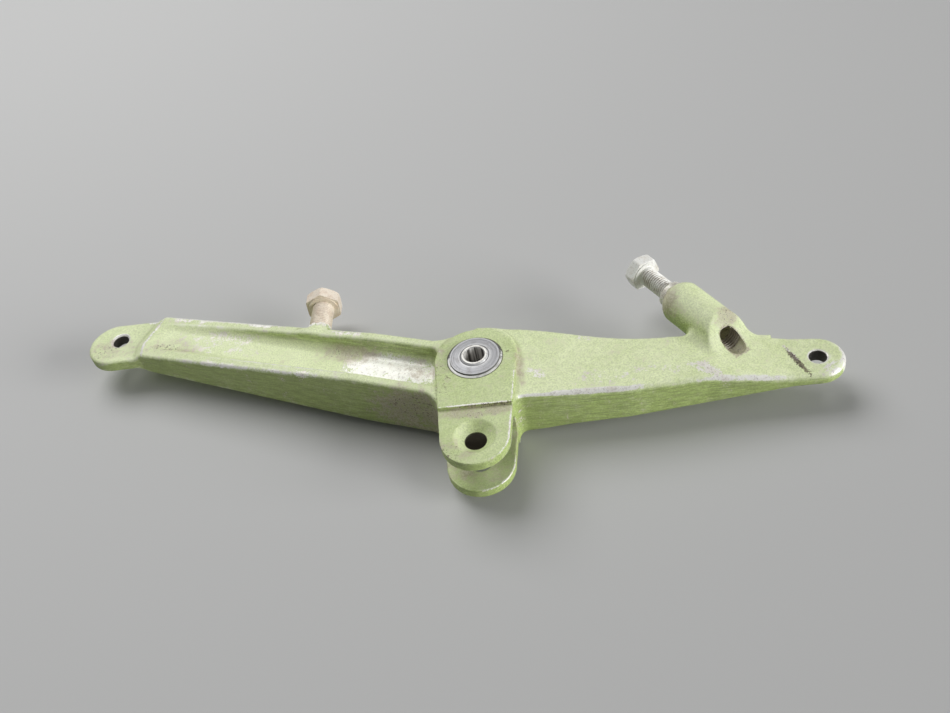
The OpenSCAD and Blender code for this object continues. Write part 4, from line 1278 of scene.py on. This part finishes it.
# %% Primer finish
def primer():
    """Green, then faded rims, metal, dust, grime with painted shade, and painted shade in the holes, each
    mixed in by its share.
    """
    paint, tree, shader, where = finish("zinc_green_primer")
    cloud, blotch = noise(tree, where, 22, 2), noise(tree, where, 6.5, 4, 0.55)
    mottle, grain = noise(tree, where, 2.4, 5, 0.6), noise(tree, where, 0.65, 4, 0.65)
    fine, dots = noise(tree, where, 0.4, 3, 0.6), noise(tree, where, 1.0, 5, 0.72)
    ragged = plus(tree, *(between(tree, lumps, 0.3, 0.7, -0.25, 0.2) for lumps in (blotch, mottle)))
    speckle = between(tree, grain, 0.35, 0.65, -0.25, 0.2)

    faded = plus(tree, mark(tree, "rim"), times(tree, ragged, 0.5))
    colour = green_coat(tree, where, cloud, mottle, grain)
    colour = tint(tree, between(tree, faded, 0.2, 0.75, 0.0, 0.7), colour, FADED_GREEN)
    worn = worn_share(tree, where, ragged, speckle)
    colour = tint(tree, worn, colour, bare_metal(tree, blotch, dots))

    film = plus(tree, mark(tree, "dust"), plus(tree, ragged, speckle))
    earth = tint(tree, between(tree, dots, 0.4, 0.62), DARK_EARTH, PALE_EARTH)
    colour = tint(tree, between(tree, film, 0.05, 0.8, 0.0, 0.7), colour, earth)
    # The stain mark also carries painted shade in the clevis slot and along the step.
    spots = plus(tree, mark(tree, "stain"), between(tree, dots, 0.40, 0.68, -0.45, 0.5))
    flecks = between(tree, dots, 0.70, 0.76, 0.0, 0.5)
    colour = tint(tree, larger(tree, between(tree, spots, 0.55, 0.95, 0.0, 0.85), flecks), colour, GRIME_AND_SHADE)
    colour = tint(tree, shade_and_stain_share(tree, where, mottle, spots), colour, SHADE_AND_STAIN_BLACK)
    tree.links.new(colour, shader.inputs["Base Color"])

    tree.links.new(times(tree, worn, 0.2), shader.inputs["Metallic"])
    dull = between(tree, worn, 0.0, 1.0, 0.55, 0.40)
    dull = plus(tree, dull, between(tree, mottle, 0.3, 0.7, -0.05, 0.1))
    tree.links.new(dull, shader.inputs["Roughness"])
    height = plus(tree, times(tree, mottle, 0.4), times(tree, grain, 0.6))
    height = plus(tree, height, times(tree, fine, 0.2))
    height = plus(tree, height, times(tree, worn, -0.35))
    relief(tree, shader, height, depth_mm=0.16, strength=0.7)
    return paint


forged.data.materials.append(primer())
print("primer on", forged.name)

# %% [markdown]
# Bearing steel. Turned faces have fine rings round the axis, so that noise is read along the radius only;
# the bore has streaks along its length. The lip carries a painted highlight, the groove inside it painted
# shade and the inner race's shaded step painted light, while the ground faces differ in tone; all are bands
# by radius. The rear half of the outer lip is darkened as painted shadow.

# %% Steel finishes
OLD_STAIN = (0.24, 0.22, 0.20)
LIP_PAINTED_SHADOW = (0.05, 0.045, 0.04)
BORE_DARK = (0.15, 0.14, 0.13)
BORE_BRIGHT = (0.88, 0.86, 0.82)
GROOVE_PAINTED_SHADE = (0.10, 0.10, 0.10)
LIP_PAINTED_HIGHLIGHT = (0.97, 0.96, 0.93)
RACE_CREAM = (0.95, 0.93, 0.87)
SHIELD_RIM = (0.66, 0.66, 0.66)
RACE_STEP_PAINTED_LIGHT = (0.70, 0.70, 0.70)
RINGS_PER_MM = 3.1
NOWHERE = 99.0


def turned_steel(name, colour, bands=(), streaks_inside=0.0, shadow_outside=NOWHERE):
    """Grey metal with fine rings by noise along the radius; each band is a radius, half its width and a
    colour, and some bands are painted highlight, painted shade and painted light. Inside one radius the
    rings give way to streaks along the bore; outside another the rear half is darkened as painted shadow."""
    paint, tree, shader, where = finish(name)
    radius = axis_radius(tree, where)
    rings = tree.nodes.new("ShaderNodeTexNoise")
    rings.noise_dimensions = "1D"
    tree.links.new(radius, rings.inputs["W"])
    rings.inputs["Scale"].default_value = RINGS_PER_MM
    rings.inputs["Detail"].default_value = 3.0
    lines, stain = rings.outputs["Fac"], noise(tree, where, 2.2, 4, 0.6)
    low, high = (tuple(k * c for c in colour) for k in (0.72, 1.12))
    shade = tint(tree, between(tree, lines, 0.3, 0.7), low, high)
    for middle, half, band_colour in bands:
        shade = tint(tree, between(tree, apart(tree, radius, middle), half, 0.7 * half), shade, band_colour)
    shade = tint(tree, between(tree, stain, 0.48, 0.72, 0.0, 0.4), shade, OLD_STAIN)
    # Painted shadow: the rear half of the outer lip is darkened.
    behind = plus(tree, axis_value(tree, where, "Y"), between(tree, stain, 0.3, 0.7, -2.0, 2.0))
    outside = between(tree, radius, shadow_outside - 0.04, shadow_outside)
    shade = tint(tree, times(tree, between(tree, behind, -1.0, 2.0, 0.0, 0.9), outside), shade, LIP_PAINTED_SHADOW)
    streak = noise(tree, stretched(tree, where, (1, 1, 50)), 1.1, 2)
    bore = tint(tree, between(tree, streak, 0.42, 0.58), BORE_DARK, BORE_BRIGHT)
    shade = tint(tree, between(tree, radius, streaks_inside, streaks_inside - 0.05), shade, bore)
    tree.links.new(shade, shader.inputs["Base Color"])
    shader.inputs["Metallic"].default_value = 0.2
    dull = plus(tree, between(tree, lines, 0.3, 0.7, 0.36, 0.48), between(tree, stain, 0.4, 0.7, 0.0, 0.12))
    tree.links.new(dull, shader.inputs["Roughness"])
    relief(tree, shader, lines, depth_mm=0.02, strength=0.5)
    return paint


# Painted light: the lip band is a painted highlight, the groove band painted shade, and the race's step
# band painted light on its shaded side.
FACE_BANDS = ((10.42, 0.55, LIP_PAINTED_HIGHLIGHT), (9.90, 0.07, GROOVE_PAINTED_SHADE), (6.15, 0.4, SHIELD_RIM))
RACE_BANDS = ((5.6, 0.5, RACE_STEP_PAINTED_LIGHT), (4.6, 0.45, RACE_CREAM))
face_steel = turned_steel("turned_steel", (0.53, 0.53, 0.545), FACE_BANDS, shadow_outside=10.0)
race_steel = turned_steel("ground_race", (0.55, 0.55, 0.55), RACE_BANDS, streaks_inside=4.05)
bore_steel = turned_steel("bore_steel", (0.50, 0.48, 0.45), streaks_inside=20.0)
ball_steel = turned_steel("ball_steel", (0.66, 0.67, 0.69))

for ring in rings:
    ring.data.materials.append(race_steel if "inner" in ring.name else face_steel)
for node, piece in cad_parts.items():
    steel = ball_steel if "balls" in node else bore_steel if "spacer" in node else face_steel
    for place in piece.material_slots:
        place.material = steel
print("steel on", len(rings), "rings and", len(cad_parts), "packed nodes")

# %% [markdown]
# Plated bolts. The right bolt's plating has gone dusty off-white, the left one's is baked to a warm tan,
# and dirt stays in the thread's grooves. One finish with other colours serves both bolts and the tapped
# wall, because all three carry the same mark for depth.

# %% Bolt finishes
THREAD_DIRT = (0.22, 0.17, 0.115)


def plated(name, colour, stain_colour, stain_share, dirt_share):
    """Dusty plating: colour clouded with a stain, dirt in the grooves, and a fine powdery grain."""
    paint, tree, shader, where = finish(name)
    cloud, grain = noise(tree, where, 3.5, 5, 0.62), noise(tree, where, 0.8, 4, 0.6)
    shade = tint(tree, between(tree, cloud, 0.42, 0.68, 0.0, stain_share), colour, stain_colour)
    powder = tuple(0.62 * c for c in stain_colour)
    shade = tint(tree, between(tree, grain, 0.5, 0.70, 0.0, 0.45), shade, powder)
    filled = plus(tree, times(tree, mark(tree, "groove"), 0.75), between(tree, cloud, 0.3, 0.7, -0.2, 0.2))
    shade = tint(tree, between(tree, filled, 0.2, 0.85, 0.0, dirt_share), shade, THREAD_DIRT)
    tree.links.new(shade, shader.inputs["Base Color"])
    shader.inputs["Metallic"].default_value = 0.1
    tree.links.new(between(tree, grain, 0.3, 0.7, 0.42, 0.62), shader.inputs["Roughness"])
    relief(tree, shader, plus(tree, times(tree, cloud, 0.5), grain), depth_mm=0.09, strength=0.7)
    return paint


left_bolt.data.materials.append(plated("baked_plating", (0.94, 0.84, 0.71), (0.76, 0.58, 0.43), 0.45, 0.3))
right_bolt.data.materials.append(plated("dusty_plating", (0.94, 0.94, 0.90), (0.70, 0.63, 0.51), 0.4, 0.6))
wall.data.materials.append(plated("tapped_metal", (0.50, 0.46, 0.38), (0.26, 0.21, 0.15), 0.8, 0.8))
print("finishes:", sorted(m.name for m in bpy.data.materials if m.use_nodes))

# %% [markdown]
# Floor and light. A broad lamp high behind on the left gives the pale tops, as daylight from a window
# does. A large lamp far off on the right, low and in front, lights the right arm's front face and leaves
# the left arm's in shade. The room fills the shadows. A small lamp close by would do the same for the
# part but would leave a hot patch on the floor.

# %% Floor and lamps
FLOOR_REACH = 1.8
FLOOR_LEVEL = -0.0147
FLOOR_COLOUR = (0.55, 0.55, 0.545, 1)
FLOOR_DULLNESS = 0.9
ROOM_COLOUR = (0.96, 0.98, 1.0, 1)
ROOM_STRENGTH = 0.13


def plain_floor():
    """Square of pale floor just under the lowest ring."""
    mesh = bpy.data.meshes.new("floor")
    signs = ((-1, -1), (1, -1), (1, 1), (-1, 1))
    corners = [(x * FLOOR_REACH, y * FLOOR_REACH, FLOOR_LEVEL) for x, y in signs]
    mesh.from_pydata(corners, [], [(0, 1, 2, 3)])
    floor = bpy.data.objects.new("floor", mesh)
    bpy.context.scene.collection.objects.link(floor)
    paint = bpy.data.materials.new("pale_floor")
    paint.use_nodes = True
    shader = paint.node_tree.nodes["Principled BSDF"]
    shader.inputs["Base Color"].default_value = FLOOR_COLOUR
    shader.inputs["Roughness"].default_value = FLOOR_DULLNESS
    mesh.materials.append(paint)


def soft_lamp(name, place, size, power):
    """Square area lamp that faces the pivot: its Z points away from there and its X lies across Y."""
    data = bpy.data.lights.new(name, "AREA")
    data.size = size
    data.energy = power
    lamp = bpy.data.objects.new(name, data)
    bpy.context.scene.collection.objects.link(lamp)
    back = np.array(place) / np.linalg.norm(place)
    right = np.cross((0.0, 1.0, 0.0), back)
    right /= np.linalg.norm(right)
    lamp.matrix_world = placed(right, np.cross(back, right), back, place)


plain_floor()
soft_lamp("window_lamp", (-0.45, 0.55, 0.95), size=0.9, power=9.7)
soft_lamp("side_lamp", (4.2, -1.5, 1.05), size=2.4, power=203.0)
world = bpy.data.worlds.new("room")
bpy.context.scene.world = world
world.use_nodes = True
room = world.node_tree.nodes["Background"]
room.inputs["Color"].default_value = ROOM_COLOUR
room.inputs["Strength"].default_value = ROOM_STRENGTH
bpy.context.scene.view_settings.view_transform = "Standard"
